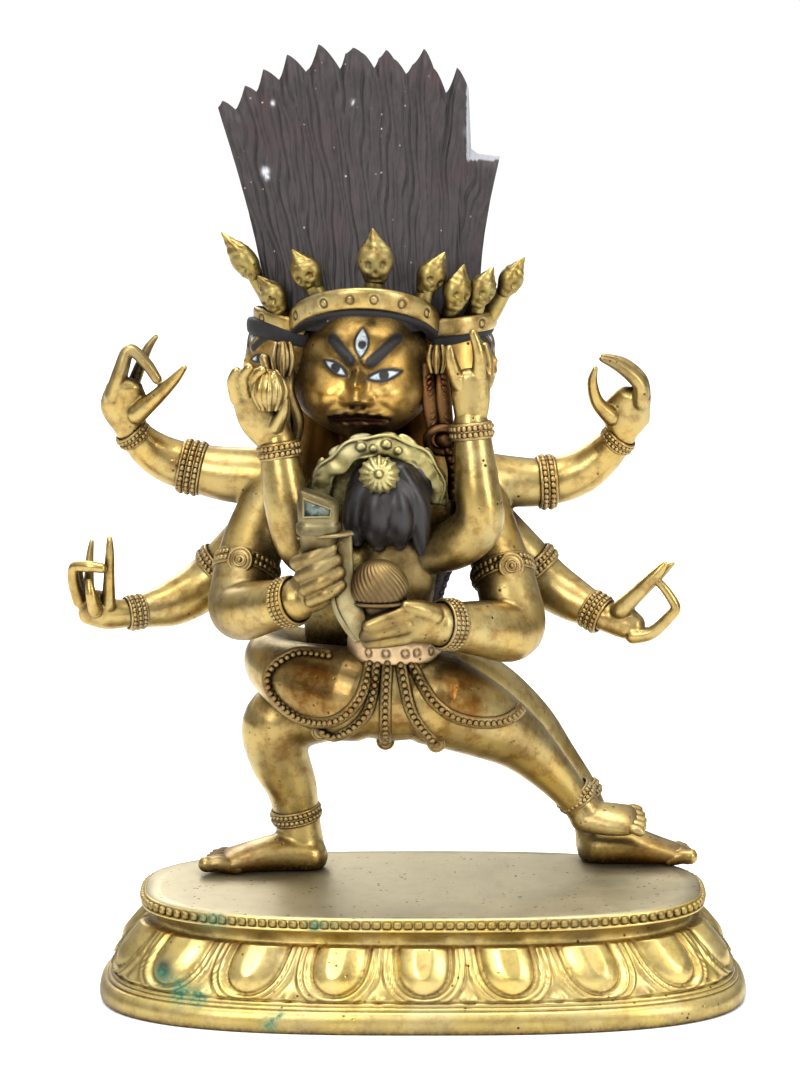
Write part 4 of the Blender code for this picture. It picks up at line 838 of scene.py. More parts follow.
hand_shapes = []
for name in HIS_ARMS:
    hand_shapes += hand(name)
    hand_shapes.append(roll(HIS_ARMS[name][-2:]))
hand_shapes += toes(HIS_FEET["bent"], -1, 1.15) + toes(HIS_FEET["straight"], 1, 0.66)
deity_hands = make_piece("deity_hands", hand_shapes, burnished_gilding)
cast_in_one(deity_hands, voxel=0.24, softening=3, triangles=72000)
hand_spots = spots_of(deity_hands)
hand_spots[:, 2] = np.maximum(hand_spots[:, 2], 0.0)
set_spots(deity_hands, hand_spots)
paint(deity_hands, "umber_and_shade", near(hand_spots, HIS_UMBER_AND_SHADE))
TOE_TARNISH = [(-38.5, 13, 3.0, 3.0, 0.9), (-37, 16, 3.0, 2.6, 0.8), (51, 20, 2.0, 2.4, 0.6)]
HAND_TARNISH = [(-52, 13, 98, 5, 0.6), (-64, 10, 55, 3, 0.4), (37, 8, 97, 4, 0.5),
                (-4, -15, 50, 3, 0.6), (-19, -18, 63, 8, 0.55), (-6, -20, 53, 7, 0.45),
                (-11, -21, 51, 3, 0.9)]
paint(deity_hands, "tarnish", near(hand_spots, HIS_TARNISH + TOE_TARNISH + HAND_TARNISH))

# %% [markdown]
# A wrathful face is a sphere of full cheeks with everything else pressed into or added to
# its front. Here it is a fine grid round the head, closest together at the front, and each
# feature is a soft hill or a ridge along a line, in shares of the head's radius: sockets
# sink, eyeballs and lids rise, brows flare up from the nose. It's easier to place an eye
# exactly this way than to fuse small balls, and the paint can follow the same lines.

# %% The heads
HEAD = ((-10.8, 6.5, 95.4), 12.8, -6)  # centre, radius and the turn about Z
SIDE_HEADS = [((-24.6, 12.5, 97.4), 9.4, -68), ((5.0, 12.5, 97.4), 9.4, 70)]
SKULL_FORMS = [((0, 0, 0.02), (1.0, 0.94, 0.94)), ((0, 0.06, 0.30), (0.98, 0.95, 0.80)),
               ((-0.04, -0.12, -0.20), (1.06, 0.80, 0.68)), ((0, -0.15, -0.35), (0.72, 0.70, 0.58))]
EYES = [(-0.33, 0.205, 30, 0.205, 0.074),  # x, z, tilt, reach, height
        (0.37, 0.11, -10, 0.245, 0.074)]
BROWS = [[(-0.12, 0.34), (-0.20, 0.43), (-0.29, 0.52), (-0.38, 0.60)],
         [(0.20, 0.31), (0.30, 0.40), (0.42, 0.51), (0.53, 0.61)]]
THIRD_EYE = (0.045, 0.565, 0.100, 0.20)  # x, z, half width, half height


def distance_to(x, z, line):
    """How far each point is from a line through x, z stations."""
    best = np.full(x.shape, 9.0)
    for (x0, z0), (x1, z1) in zip(line, line[1:]):
        dx, dz = x1 - x0, z1 - z0
        t = np.clip(((x - x0) * dx + (z - z0) * dz) / (dx * dx + dz * dz), 0, 1)
        best = np.minimum(best, np.hypot(x - x0 - t * dx, z - z0 - t * dz))
    return best


def hill(x, z, at_x, at_z, wide, high):
    return np.exp(-((x - at_x) / wide) ** 2 - ((z - at_z) / high) ** 2)


def ridge(x, z, line, width):
    return np.exp(-(distance_to(x, z, line) / width) ** 2)


def ramp(values, start, end):
    """0 before start, 1 after end, and smooth between."""
    t = np.clip((values - start) / (end - start), 0, 1)
    return t * t * (3 - 2 * t)


def eye_measure(x, z, eye):
    """Below 0 inside the almond between the lids, and 0 on its outline."""
    at_x, at_z, tilt, reach, height = eye
    c, s = math.cos(math.radians(tilt)), math.sin(math.radians(tilt))
    along = (x - at_x) * c - (z - at_z) * s
    over = (x - at_x) * s + (z - at_z) * c
    return np.abs(over) - height * (1 - (along / reach) ** 2), along, over


def head_form(columns, rows, relief):
    """Points of a head in shares of its radius, its faces, and its paint."""
    s = np.linspace(-1, 1, columns, endpoint=False)
    turn = np.pi * (0.34 * s + 0.66 * s ** 3)
    t = np.linspace(-1, 1, rows + 2)[1:-1]
    lift = np.pi / 2 * (0.62 * t + 0.38 * t ** 3)
    turn, lift = np.meshgrid(turn, lift)
    ways = np.stack([np.sin(turn) * np.cos(lift), -np.cos(turn) * np.cos(lift),
                     np.sin(lift)], -1)
    ways = np.vstack([[(0, 0, -1)], ways.reshape(-1, 3), [(0, 0, 1)]])
    reach = np.zeros(len(ways))
    for centre, radii in SKULL_FORMS:
        d, c = ways / radii, np.array(centre) / radii
        a, b, e = (d ** 2).sum(1), (d * c).sum(1), (c ** 2).sum() - 1
        far = (b + np.sqrt(np.maximum(b * b - a * e, 0))) / a
        reach += far ** 14
    points = ways * (reach / len(SKULL_FORMS) * 1.35)[:, None] ** (1 / 14)
    x, z = points[:, 0], points[:, 2]
    out = np.zeros(len(points))
    for side in (-1, 1):
        out += 0.15 * hill(x, z, side * 0.50, -0.20, 0.33, 0.27)
        cheek_line = [(side * 0.24, -0.24), (side * 0.42, -0.38), (side * 0.50, -0.50)]
        out -= 0.022 * ridge(x, z, cheek_line, 0.07)
        out += 0.13 * hill(x, z, side * 0.155, -0.24, 0.095, 0.080)
        out -= 0.07 * hill(x, z, side * 0.085, -0.32, 0.045, 0.03)
        out += 0.05 * hill(x, z, side * 0.09, 0.33, 0.06, 0.09)
    for eye, brow in zip(EYES, BROWS):
        out -= 0.09 * hill(x, z, eye[0], eye[1], 0.30, 0.13)
        inside, along, over = eye_measure(x, z, eye)
        out += 0.075 * np.exp(-(along / 0.20) ** 2 - (over / 0.085) ** 2)
        out += 0.028 * np.exp(-(inside / 0.028) ** 2) * ramp(-np.abs(along), -0.27, -0.22)
        out += 0.085 * ridge(x, z, brow, 0.095) + 0.035 * ridge(x, z, brow, 0.18)
    third_x, third_z, third_wide, third_high = THIRD_EYE
    third = np.abs(x - third_x) / third_wide - (1 - ((z - third_z) / third_high) ** 2)
    by_third = np.abs(z - third_z) < 0.26
    out += 0.05 * hill(x, z, third_x, third_z, 0.10, 0.20)
    out += 0.022 * np.exp(-(third / 0.20) ** 2) * by_third
    out += 0.17 * ridge(x, z, [(0, 0.24), (0, 0.02)], 0.075) * ramp(-z, -0.34, 0.0)
    out += 0.21 * ridge(x, z, [(0, 0.02), (0, -0.17)], 0.105)
    out += 0.11 * hill(x, z, 0, -0.22, 0.12, 0.08)
    out += 0.07 * hill(x, z, 0, -0.48, 0.40, 0.16)
    out += 0.05 * ridge(x, z, [(-0.44, -0.49), (0, -0.40), (0.44, -0.49)], 0.06)
    out += 0.06 * ridge(x, z, [(-0.32, -0.64), (0, -0.61), (0.32, -0.64)], 0.07)
    out -= 0.07 * ridge(x, z, [(-0.40, -0.55), (0, -0.51), (0.40, -0.55)], 0.035)
    out += 0.11 * hill(x, z, 0, -0.80, 0.26, 0.14)
    front = ramp(-points[:, 1], 0.10, 0.45)
    points[:, 1] -= out * front * relief
    faces = []
    for k in range(columns):
        n = (k + 1) % columns
        faces.append((0, 1 + n, 1 + k))
        for r in range(rows - 1):
            low, high = 1 + r * columns, 1 + (r + 1) * columns
            faces.append((low + k, low + n, high + n, high + k))
        top = 1 + (rows - 1) * columns
        faces.append((top + k, top + n, len(points) - 1))
    white, black = np.zeros(len(points)), np.zeros(len(points))
    for eye, brow in zip(EYES, BROWS):
        inside, along, over = eye_measure(x, z, eye)
        open_eye = ramp(-inside, 0.0, 0.014) * (np.abs(along) < eye[3])
        white = np.maximum(white, open_eye)
        pupil = np.hypot(along, over * 0.85)
        black = np.maximum(black, ramp(-pupil, -0.080, -0.062) * open_eye)
        line = ramp(-np.abs(inside), -0.034, -0.016) * (np.abs(along) < eye[3] * 1.08)
        black = np.maximum(black, line)
        black = np.maximum(black, ramp(-distance_to(x, z, brow), -0.100, -0.074))
    open_third = ramp(-third, 0.02, 0.14)
    white = np.maximum(white, open_third)
    third_pupil = np.hypot(x - third_x - 0.01, z - third_z + 0.02)
    black = np.maximum(black, ramp(-third_pupil, -0.070, -0.050) * open_third)
    black = np.maximum(black, ramp(-np.abs(third), -0.28, -0.10) * by_third)
    hairline = 0.60 + 0.29 * np.sqrt(np.clip(1 - (x / 0.98) ** 2, 0, 1))
    black = np.maximum(black, ramp(z - hairline, -0.01, 0.02))
    is_front = points[:, 1] < -0.1
    # Soot and painted shade: a dark band over the mouth, under the nose, round the eyes and brows,
    # between the brows, and more toward the bottom of the face.
    patchy = 0.8 + 0.35 * np.sin(x * 31 + 2 * np.sin(z * 23)) * np.sin(z * 37 + x * 9)
    soot_and_shade = 1.55 * patchy * ridge(x, z, [(-0.36, -0.54), (-0.05, -0.50), (0.30, -0.54)], 0.13) \
        + 0.6 * hill(x, z, 0.0, -0.33, 0.22, 0.05) + 0.40 * ramp(-z, 0.40, 0.85)
    for eye, brow in zip(EYES, BROWS):
        soot_and_shade += 0.45 * hill(x, z, eye[0], eye[1], 0.30, 0.15) + 0.5 * ridge(x, z, brow, 0.14)
    soot_and_shade += 0.4 * hill(x, z, 0, 0.28, 0.10, 0.10)
    hair_behind = np.maximum(ramp(z, 0.62, 0.66), ramp(points[:, 1], 0.30, 0.42))
    return points, faces, {"white": white * is_front, "soot_and_shade": soot_and_shade * is_front,
                           "black": np.where(is_front, black, hair_behind)}


def place_head(points, head):
    """Turns points in shares of a head's radius into millimetres at its place."""
    centre, radius, yaw = head
    turn = np.array(Matrix.Rotation(math.radians(yaw), 3, "Z"))
    return np.asarray(points) * radius @ turn.T + centre


form, form_faces, form_paint = head_form(columns=240, rows=140, relief=1.0)
deity_face = make_piece("deity_face", [(place_head(form, HEAD), form_faces)], face_gilding)
for colour, shares in form_paint.items():
    paint(deity_face, colour, shares)
side_shapes, side_paint = [], {"white": [], "black": [], "soot_and_shade": []}
form, form_faces, form_paint = head_form(columns=130, rows=86, relief=0.28)
for head in SIDE_HEADS:
    side_shapes.append((place_head(form, head), form_faces))
    for colour, shares in form_paint.items():
        side_paint[colour].append(shares)
deity_side_faces = make_piece("deity_side_faces", side_shapes, face_gilding)
for colour, shares in side_paint.items():
    paint(deity_side_faces, colour, np.concatenate(shares))
print("heads:", [len(pieces[n].data.polygons) for n in ("deity_face", "deity_side_faces")])

# %% [markdown]
# His hair stands up in one fan of flames, cast as a thick sheet with grooves for the
# strands, and painted. It is a grid: each column starts at the hairline and runs up to one
# point of the crest, so a groove cut along a column follows the flow of the hair. The last
# flame on his left is broken off, and its edge is painted pale, as bare metal and as a
# painted highlight. It stays broken.

# %% His flaming hair
HAIR_ROOT = [(-28.4, 104.0), (10.6, 104.0)]
HAIR_CREST = [(-38.0, 144.3), (-37.2, 145.5), (-34.8, 143.9), (-33.0, 148.3), (-30.9, 147.2),
              (-29.6, 151.3), (-26.7, 149.4), (-25.2, 154.0), (-21.7, 150.9), (-21.2, 151.4),
              (-19.4, 155.9), (-15.4, 151.4), (-14.4, 154.2), (-13.0, 155.3), (-11.4, 154.4),
              (-9.1, 151.6), (-8.2, 153.4), (-6.9, 154.9), (-5.4, 153.2), (-3.2, 150.5),
              (-2.0, 152.2), (0.1, 155.1), (2.0, 151.4), (4.2, 147.0), (6.2, 151.6),
              (8.4, 147.8), (8.9, 136.6), (10.2, 135.7), (14.2, 135.2)]
HAIR_DEPTH = 13.6  # the sheet's middle, behind the heads
LOCK_PITCH, STRAND_PITCH = 5.4, 1.2


def crest_line():
    """Points along the crest. Each flame's long side bulges and its short side is hollow."""
    line = []
    for (x0, z0), (x1, z1) in zip(HAIR_CREST, HAIR_CREST[1:]):
        count = max(2, round(math.hypot(x1 - x0, (z1 - z0) * 0.35) / 0.24))
        for i in range(count):
            t = i / count
            eased = t ** 1.45 if abs(z1 - z0) > 0.9 and x1 < 8.6 else t
            line.append((x0 + (x1 - x0) * t, z0 + (z1 - z0) * eased))
    return np.array(line + [HAIR_CREST[-1]])


def fan_of_hair(row_count):
    """The sheet as a closed grid: a front and a back, joined at the crest and the root."""
    crest = crest_line()
    crest_x, crest_z = crest[:, 0][:, None], crest[:, 1][:, None]
    share = np.linspace(0, 1, row_count)[None, :] ** 0.9
    across = (crest_x - HAIR_CREST[0][0]) / (HAIR_CREST[-1][0] - HAIR_CREST[0][0])
    root_x = HAIR_ROOT[0][0] + across * (HAIR_ROOT[1][0] - HAIR_ROOT[0][0])
    x = (root_x + (crest_x - root_x) * share ** 1.15
         + np.sin(np.pi * share) * (0.6 - 1.6 * across))
    z = HAIR_ROOT[0][1] + (crest_z - HAIR_ROOT[0][1]) * share
    half = 3.6 - 2.1 * share
    lock = 0.5 - 0.5 * np.cos(2 * np.pi * (crest_x + 2.2 * np.sin(3 * share)) / LOCK_PITCH)
    half = half - 0.55 * (1 - lock) ** 2 * (0.35 + 0.65 * share)
    plain = ramp(crest_x + 0 * share, -4.0, 4.0) * ramp(1 - share, 0.30, 0.55)
    strand_x = (crest_x + 0.55 * np.sin(9 * share + crest_x * 0.30)
                + 0.3 * np.sin(23 * share + crest_x))
    strands = (np.abs(np.sin(np.pi * strand_x / STRAND_PITCH)) ** 0.6
               + 0.45 * np.abs(np.sin(np.pi * (strand_x * 1.73 + 0.4) / STRAND_PITCH)) - 0.9)
    half = half + 0.40 * strands * (1 - 0.45 * plain) * ramp(share, 0.0, 0.12)
    half = half * (1 - 0.62 * ramp(share, 0.93, 1.0))
    swell = 10.0 * np.maximum(0, 1 - ((across - 0.46) / 0.5) ** 2) * (1 - share) ** 2.2
    front = np.stack([x, HAIR_DEPTH - half - swell, z], -1)
    back = np.stack([x, HAIR_DEPTH + half * 0.8, z], -1)
    columns, rows = front.shape[:2]
    ring = 2 * rows
    points = np.concatenate([front, back[:, ::-1]], axis=1).reshape(-1, 3)
    faces = []
    for i in range(columns - 1):
        for k in range(ring):
            n = (k + 1) % ring
            faces.append((i * ring + k, (i + 1) * ring + k, (i + 1) * ring + n, i * ring + n))
    faces.append(tuple(range(ring)))
    faces.append(tuple(range((columns - 1) * ring, columns * ring))[::-1])
    return points, faces


hair_points, hair_faces = fan_of_hair(80)
deity_hair = make_piece("deity_hair", [(hair_points, hair_faces)], flame_hair_paint)
# The broken flame is washed pale, as bare metal and as a painted highlight along the break.
broken = (hair_points[:, 0] > 8.0) & (hair_points[:, 2] > 134.6)
# Chips show in front alone, whatever the depth there, so they are measured in a flat view.
HAIR_CHIPS_AND_HIGHLIGHT = [(-29.2, 0, 132.7, 0.55, 1.8), (-28.9, 0, 131.7, 0.40, 1.2),
              (-27.8, 0, 145.2, 0.35, 1.1), (-13.0, 0, 145.4, 0.30, 0.9),
              (8.9, 0, 140, 1.0, 0.5), (9.4, 0, 136.8, 0.9, 0.4)]
# The last two patches, on the break, paint a highlight there.
chips_and_highlight = near(hair_points * (1, 0, 1), HAIR_CHIPS_AND_HIGHLIGHT) * (hair_points[:, 1] < 13)
paint(deity_hair, "pale", np.maximum(chips_and_highlight, 0.45 * broken))
print("hair:", len(deity_hair.data.polygons), "faces")

# Behind the heads the hair is combed down flat to the shoulders.
back_hair = [roll([(-9.5, 16, 104, 12, 5), (-9.0, 16.5, 90, 13, 4.5), (-8.8, 17, 77, 13, 4.5)],
                  48, up=(0, -1, 0))]
for i in range(13):
    x = -20.5 + 1.92 * i
    bow = 0.012 * (x + 9) ** 2
    back_hair.append(roll([(x * 0.9 - 0.9, 20.2 - bow, 106, 0.9),
                           (x * 0.97 - 0.3, 20.6 - bow, 92, 1.1),
                           (x, 20.4 - bow, 79, 1.0), (x, 18.6, 73.5, 0.5)], 12))
deity_back_hair = make_piece("deity_back_hair", back_hair, flame_hair_paint)
cast_in_one(deity_back_hair, voxel=0.42, softening=2, triangles=20000)

# %% [markdown]
# A diadem crosses each brow: a flat strap with small circles punched into it. The circles
# are cut, so they are real grooves, made by moving the points that lie near each circle.
# That needs a fine mesh, about 0.15 mm between points, and dirt is painted in them. Above
# the strap stand small skulls that run up into pointed flames. Each is lofted as an egg,
# and its eyes, nose and mouth are shallow dents, as soft as they are after gilding.

# %% Diadems and skulls


def punch(points, middles, radius, width, depth, toward):
    """Cuts ring grooves round some spots, toward a centre. Gives the points and the dirt."""
    dirt = np.zeros(len(points))
    for middle in middles:
        gap = np.linalg.norm(points - middle, axis=1)
        dirt = np.maximum(dirt, np.exp(-((gap - radius) / width) ** 2))
    inward = toward - points
    inward /= np.linalg.norm(inward, axis=1)[:, None]
    return points + inward * (depth * dirt)[:, None], dirt


def brow_strap(head, yaw, foot, arch, height, fineness, circle_turns):
    """A strap over a brow with a circle punched at each turn, and the dirt in the circles."""
    centre, radius, _ = head
    stations = []
    for i in range(fineness):
        a = (2 * i / (fineness - 1) - 1) * math.radians(86)
        spot = place_head([(math.sin(a) * 1.03, -math.cos(a) * 0.97, foot + arch * math.cos(a))],
                          (centre, radius, yaw))[0]
        stations.append((*spot, 0.085 * radius, height * radius))
    points, faces = roll(stations, 60, 1, up=(0, 0, 1), square=3.2)
    middles = []
    for degrees in circle_turns:
        a = math.radians(degrees)
        middles.append(place_head([(math.sin(a) * 1.115, -math.cos(a) * 1.055,
                                    foot + arch * math.cos(a))], (centre, radius, yaw))[0])
    points, dirt = punch(points, middles, radius=0.76, width=0.17, depth=0.40,
                         toward=np.array(centre))
    return (points, faces), dirt


SKULL_SIDES = 56


def skull(centre, radius, lean, yaw, stretch, curl):
    """A small egg-shaped skull that runs up into a ribbed and pointed flame."""
    spin = np.array(Matrix.Rotation(math.radians(lean), 3, "Y")
                    @ Matrix.Rotation(math.radians(yaw), 3, "Z"))
    outline = smooth_path([(-1.22, 0.02), (-1.18, 0.36), (-1.0, 0.58), (-0.6, 0.76), (-0.1, 0.98),
                           (0.4, 1.0), (0.85, 0.78), (1.2, 0.50), (1.5, 0.30), (1.8, 0.12),
                           (1.92, 0.02)], 5)
    angles = 2 * np.pi * np.arange(SKULL_SIDES) / SKULL_SIDES
    rings = []
    for z, width in outline:
        flame = ramp(z, 0.45, 1.0)
        ribs = 1 + flame * (0.09 * np.cos(5 * angles + 2 * z) + 0.05 * np.cos(2 * angles + 16 * z))
        x, y = np.cos(angles) * width * ribs, np.sin(angles) * width * ribs * 0.84
        cut = (0.14 * hill(x, z, 0, -0.46, 0.09, 0.13)
               + 0.09 * ridge(x, z, [(-0.3, -0.84), (0.3, -0.84)], 0.05))
        for side in (-1, 1):
            rim = (np.hypot(x - side * 0.40, z + 0.04) - 0.30) / 0.09
            cut += 0.30 * hill(x, z, side * 0.40, -0.04, 0.23, 0.24) - 0.05 * np.exp(-rim ** 2)
            cut -= 0.08 * hill(x, z, side * 0.48, -0.48, 0.20, 0.12)
        y = y + cut * ramp(-y, 0.05, 0.30)
        x = x + curl * 0.35 * max(z - 0.7, 0) ** 2
        rings.append(np.stack([x, y, np.full(SKULL_SIDES, z * (stretch if z > 0 else 1))], -1))
    return lofted([ring * radius @ spin.T + centre for ring in rings])


straps = [brow_strap(HEAD, -2, 0.67, 0.56, 0.155, 250, (-62, -30, -9, 9, 31, 56)),
          brow_strap(((-23.6, 12.0, 98.6), 7.6, 0), -74, 0.74, 0.24, 0.20, 110, (-20, 20)),
          brow_strap(((4.6, 12.0, 98.0), 8.6, 0), 66, 0.74, 0.10, 0.20, 110, (-20, 20))]
diadem_straps = make_piece("diadem_straps", [strap for strap, _ in straps], burnished_gilding)
paint(diadem_straps, "tarnish", np.concatenate([dirt for _, dirt in straps]) * 0.9)

# Between each strap and the brow lies a rolled edge of hair, painted black.
HAIR_EDGES = [(HEAD, -4, 0.53, 0.50, 1.00, 0.052),  # head, yaw, foot, arch, width, thickness
              (SIDE_HEADS[0], -68, 0.48, 0.22, 0.86, 0.17),
              (SIDE_HEADS[1], 70, 0.48, 0.22, 0.86, 0.17)]
hair_edges = []
for head, yaw, foot, arch, wide, thick in HAIR_EDGES:
    edge = []
    for a in np.radians(np.linspace(-88, 88, 60)):
        spot = place_head([(math.sin(a) * wide, -math.cos(a) * wide * 0.90,
                            foot + arch * math.cos(a))], (head[0], head[1], yaw))[0]
        edge.append((*spot, 0.10 * head[1], thick * head[1]))
    hair_edges.append(roll(edge, 20, 1, up=(0, 0, 1), square=2.6))
make_piece("hair_edge", hair_edges, lamp_black)

CROWN_SKULLS = [  # x, y, z, radius, lean, yaw, stretch, curl, and the foot of its stem
    (-8.8, -1.2, 117.0, 3.35, 0, 0, 1.0, -0.3, (-9.2, -1.0, 110.5)),
    (-21.3, 2.4, 114.5, 2.85, -27, -20, 1.0, -0.3, (-18.8, 2.6, 109.5)),
    (1.3, 2.4, 113.9, 2.85, 26, 32, 1.0, 0.3, (-0.4, 2.8, 109.0)),
    (-32.5, 8, 115.6, 2.7, -36, -60, 1.5, -0.5, (-27.5, 9, 108.0)),
    (-27.5, 5, 109.8, 2.7, -32, -40, 1.0, -0.4, (-25.0, 7, 105.0)),
    (6.1, 2.6, 111.0, 2.75, 11, 30, 1.05, 0.3, (4.6, 6, 105.5)),
    (10.7, 4.6, 111.1, 2.65, 22, 36, 1.0, 0.3, (9.0, 8, 105.5)),
    (16.0, 8.6, 112.4, 2.55, 28, 56, 1.1, 0.4, (12.2, 10, 106.0)),
]
skull_shapes = []
for x, y, z, radius, lean, yaw, stretch, curl, stem in CROWN_SKULLS:
    skull_shapes.append(skull(np.array((x, y, z)), radius, lean, yaw, stretch, curl))
    skull_shapes.append(roll([(*stem, 1.9), (0.4 * x + 0.6 * stem[0], 0.4 * y + 0.6 * stem[1],
                                             0.4 * z + 0.6 * stem[2], 1.7), (x, y, z, 1.2)], 16, 4))
make_piece("crown_skulls", skull_shapes, skull_brass)

# %% [markdown]
# Bracelets, armlets and anklets are rows of small beads between plain rings. A founder
# lays beaded wire round the wax limb. Here each is a circle of balls across the limb's
# line, with rolls beside it. The armlets over the elbows carry a rosette as well.

# %% His beads and rosettes


BAND_SIDES, ROSETTE_SIDES = 40, 36


def band_of_beads(centre, along, radius, rows, bead):
    """Rows of beads round a limb, with a plain ring at each side."""
    axis = Vector(along).normalized()
    side = axis.orthogonal().normalized()
    over = axis.cross(side)
    angles = 2 * np.pi * np.arange(BAND_SIDES) / BAND_SIDES
    shapes = []
    for row in range(rows * 2 + 1):
        shift = bead * 1.02 * (row - rows)
        is_beads = row % 2 == 1
        reach = radius + (bead * 0.12 if is_beads else 0.0)
        circle = (np.array(centre) + np.array(axis) * shift + reach
                  * (np.outer(np.cos(angles), side) + np.outer(np.sin(angles), over)))
        if is_beads:
            shapes.append(beads(spaced(circle, bead * 1.65, True), bead * 0.98))
        else:
            thick = np.full((BAND_SIDES, 1), bead * (0.66 if row in (0, rows * 2) else 0.50))
            shapes.append(roll(np.hstack([circle, thick]), 6, 1, closed=True))
    return shapes


def rosette(centre, outward, radius):
    """A round medallion: a raised rim, an inner ring and a boss."""
    turn = np.array(Vector(outward).to_track_quat("Z", "Y").to_matrix())
    angles = 2 * np.pi * np.arange(ROSETTE_SIDES) / ROSETTE_SIDES

    def place(spots):
        return np.asarray(spots) @ turn.T + centre

    def ring(reach, height, thick):
        circle = np.stack([np.cos(angles) * radius * reach, np.sin(angles) * radius * reach,
                           np.full(ROSETTE_SIDES, radius * height)], -1)
        thickness = np.full((ROSETTE_SIDES, 1), radius * thick)
        return roll(np.hstack([place(circle), thickness]), 8, 1, closed=True)

    disc, disc_faces = ball((0, 0, 0), (radius, radius, radius * 0.22), fineness=3)
    boss = beads(place([(0, 0, radius * 0.18)]), radius * 0.24, 3)
    return [ring(1.0, 0.0, 0.16), (place(disc), disc_faces), ring(0.52, 0.16, 0.11), boss]


HIS_BANDS = [  # centre, along, radius, rows of beads, bead radius
    ((-32.9, 5, 59.2), (-0.25, -0.5, -0.8), 5.9, 2, 0.62),
    ((14.9, 5, 58.4), (0.25, -0.5, -0.8), 5.65, 2, 0.62),
    ((-24.6, -12, 56.0), (0.75, -0.6, 0.3), 4.3, 3, 0.5),
    ((4.4, -12, 51.8), (-0.78, -0.6, 0.15), 4.4, 3, 0.5),
    ((-43.5, 17, 76.3), (-1, 0.1, 0.2), 4.7, 3, 0.62),
    ((23.3, 17, 73.5), (1, 0.1, 0.05), 4.65, 2, 0.66),
    ((-38.6, 18, 57.0), (-0.7, 0.1, -0.75), 4.6, 2, 0.58),
    ((21.2, 18, 57.4), (0.62, 0, -0.75), 4.5, 2, 0.6),
    ((-54.4, 14.4, 83.0), (-0.6, -0.3, 0.8), 3.0, 2, 0.5),
    ((36.6, 14.4, 82.0), (0.6, -0.3, 0.8), 3.0, 2, 0.5),
    ((-54.2, 12.6, 49.3), (-1, -0.4, -0.1), 2.95, 3, 0.5),
    ((32.6, 13.2, 49.3), (0.85, -0.4, -0.45), 3.4, 3, 0.55),
    ((-24.1, 13.6, 10.2), (0.2, 0.1, -1), 4.45, 2, 0.55),
    ((30.6, 19.3, 12.6), (0.5, 0, -0.85), 3.5, 2, 0.55),
]
jewel_shapes = []
for band in HIS_BANDS:
    jewel_shapes += band_of_beads(*band)
jewel_shapes += rosette(np.array((-33.9, -0.6, 61.8)), (-0.25, -0.95, 0.2), 2.2)
jewel_shapes += rosette(np.array((16.3, -0.4, 60.6)), (0.25, -0.95, 0.2), 2.2)
deity_jewels = make_piece("deity_jewels", jewel_shapes, bead_gilding)
print("jewels:", len(deity_jewels.data.polygons), "faces")

# %% [markdown]
# Ear jewels hang at both sides of the main face. On his right a plait falls beside the
# cheek, and on his left a ribbon in two folds ends in a chain of beads. Under them both, a
# garland of dark beads crosses the chest.

# %% Ear jewels, ribbons and garlands
ribbon_shapes, red_shapes = [], []
for side, middle, size in ((-1, -25.8, 1.0), (1, 2.4, 0.8)):
    ribbon_shapes.append(ball((middle, -0.5, 99.4), (1.9 * size, 1.9, 3.2 * size)))
    for k in range(3):
        a = math.radians(-60 + 60 * k)
        reach = size * 1.9
        ribbon_shapes.append(roll([
            (middle + 0.8 * reach * math.sin(a), -0.6 - 1.6 * math.cos(a), 99.4 + 2.8 * size, 0.4),
            (middle + reach * math.sin(a), -0.6 - 2.0 * math.cos(a), 99.4, 0.62),
            (middle + 0.7 * reach * math.sin(a), -0.6 - 1.4 * math.cos(a), 99.4 - 3.0 * size, 0.4)
        ], 12))
for k, shift in enumerate((-2.2, -0.6, 1.0, 2.4)):
    weave = 0.5 * (-1) ** k
    ribbon_shapes.append(roll([(-27.0 + shift, 1.5, 99 - k, 1.0),
                               (-26.2 + shift * 0.8 + weave, 0.2, 93, 1.15),
                               (-25.8 + shift * 0.9 - weave, 0.9, 87.5, 1.2),
                               (-25.9 + shift * 0.9 + weave, 1.8, 82, 1.15),
                               (-26.8 + shift, 4, 75, 0.9)], 12))
for shift in (-1.3, 1.3):
    red_shapes.append(roll([(2.0 + shift, 1.2, 98, 1.1, 0.6), (2.4 + shift, 0.2, 92, 1.45, 0.8),
                            (3.0 + shift, 0.8, 86.5, 1.35, 0.8)], 16, up=(0, -1, 0), square=2.8))
    for k in range(9):
        red_shapes.append(ball((2.3 + shift + 0.12 * k * 0.9, -0.5 + 0.06 * k, 96 - 1.1 * k),
                               (0.7, 0.4, 0.35), (0, 30 * shift, 0), fineness=3))
loop = [(3.6 + 2.9 * math.sin(a), 0.6 - 0.8 * math.cos(a), 84.0 + 2.4 * math.cos(a), 0.85)
        for a in np.linspace(0, 2 * math.pi, 30, endpoint=False)]
red_shapes.append(roll(loop, 12, 1, closed=True))
red_shapes.append(ball((4.2, 1.6, 84.0), (2.2, 1.6, 1.9)))
chain_line = smooth_path([(4.6, 0.6, 82), (5.6, 1.6, 78), (5.4, 3.4, 74)], 8)
red_shapes.append(beads(spaced(chain_line, 1.5), 0.8, 3))
red_shapes.append(roll([(4.8, 2.4, 82, 1.2), (5.8, 3.4, 78, 1.3), (5.6, 5, 73, 1.2)]))
make_piece("ear_ribbons", ribbon_shapes, bead_gilding)
garland_line = smooth_path([(7.6, 4.0, 68.0), (4.6, 2.4, 62.6), (2.2, 1.2, 57.0),
                            (0.6, 0.6, 51.4)], 8)
garland = [roll(np.hstack([garland_line, np.full((len(garland_line), 1), 2.2)]), 20, 1)]
for side in (-1, 0, 1):
    row = garland_line + (side * 1.7, -1.9 + 0.5 * abs(side), 0.0)
    garland.append(beads(spaced(row, 1.35), 0.62))
make_piece("dark_garland", garland, flame_hair_paint)
make_piece("red_ribbon", red_shapes, red_gilding)

# %% [markdown]
# In his front hands he holds a flaying knife and a skull cup. The knife has a capped
# handle with a dark blue panel, then a curved blade that goes down past the cup. The cup
# is heaped: a ribbed, domed offering over a rim.

# %% Knife and cup
handle_turns = np.linspace(0, 2 * np.pi, 48, endpoint=False)


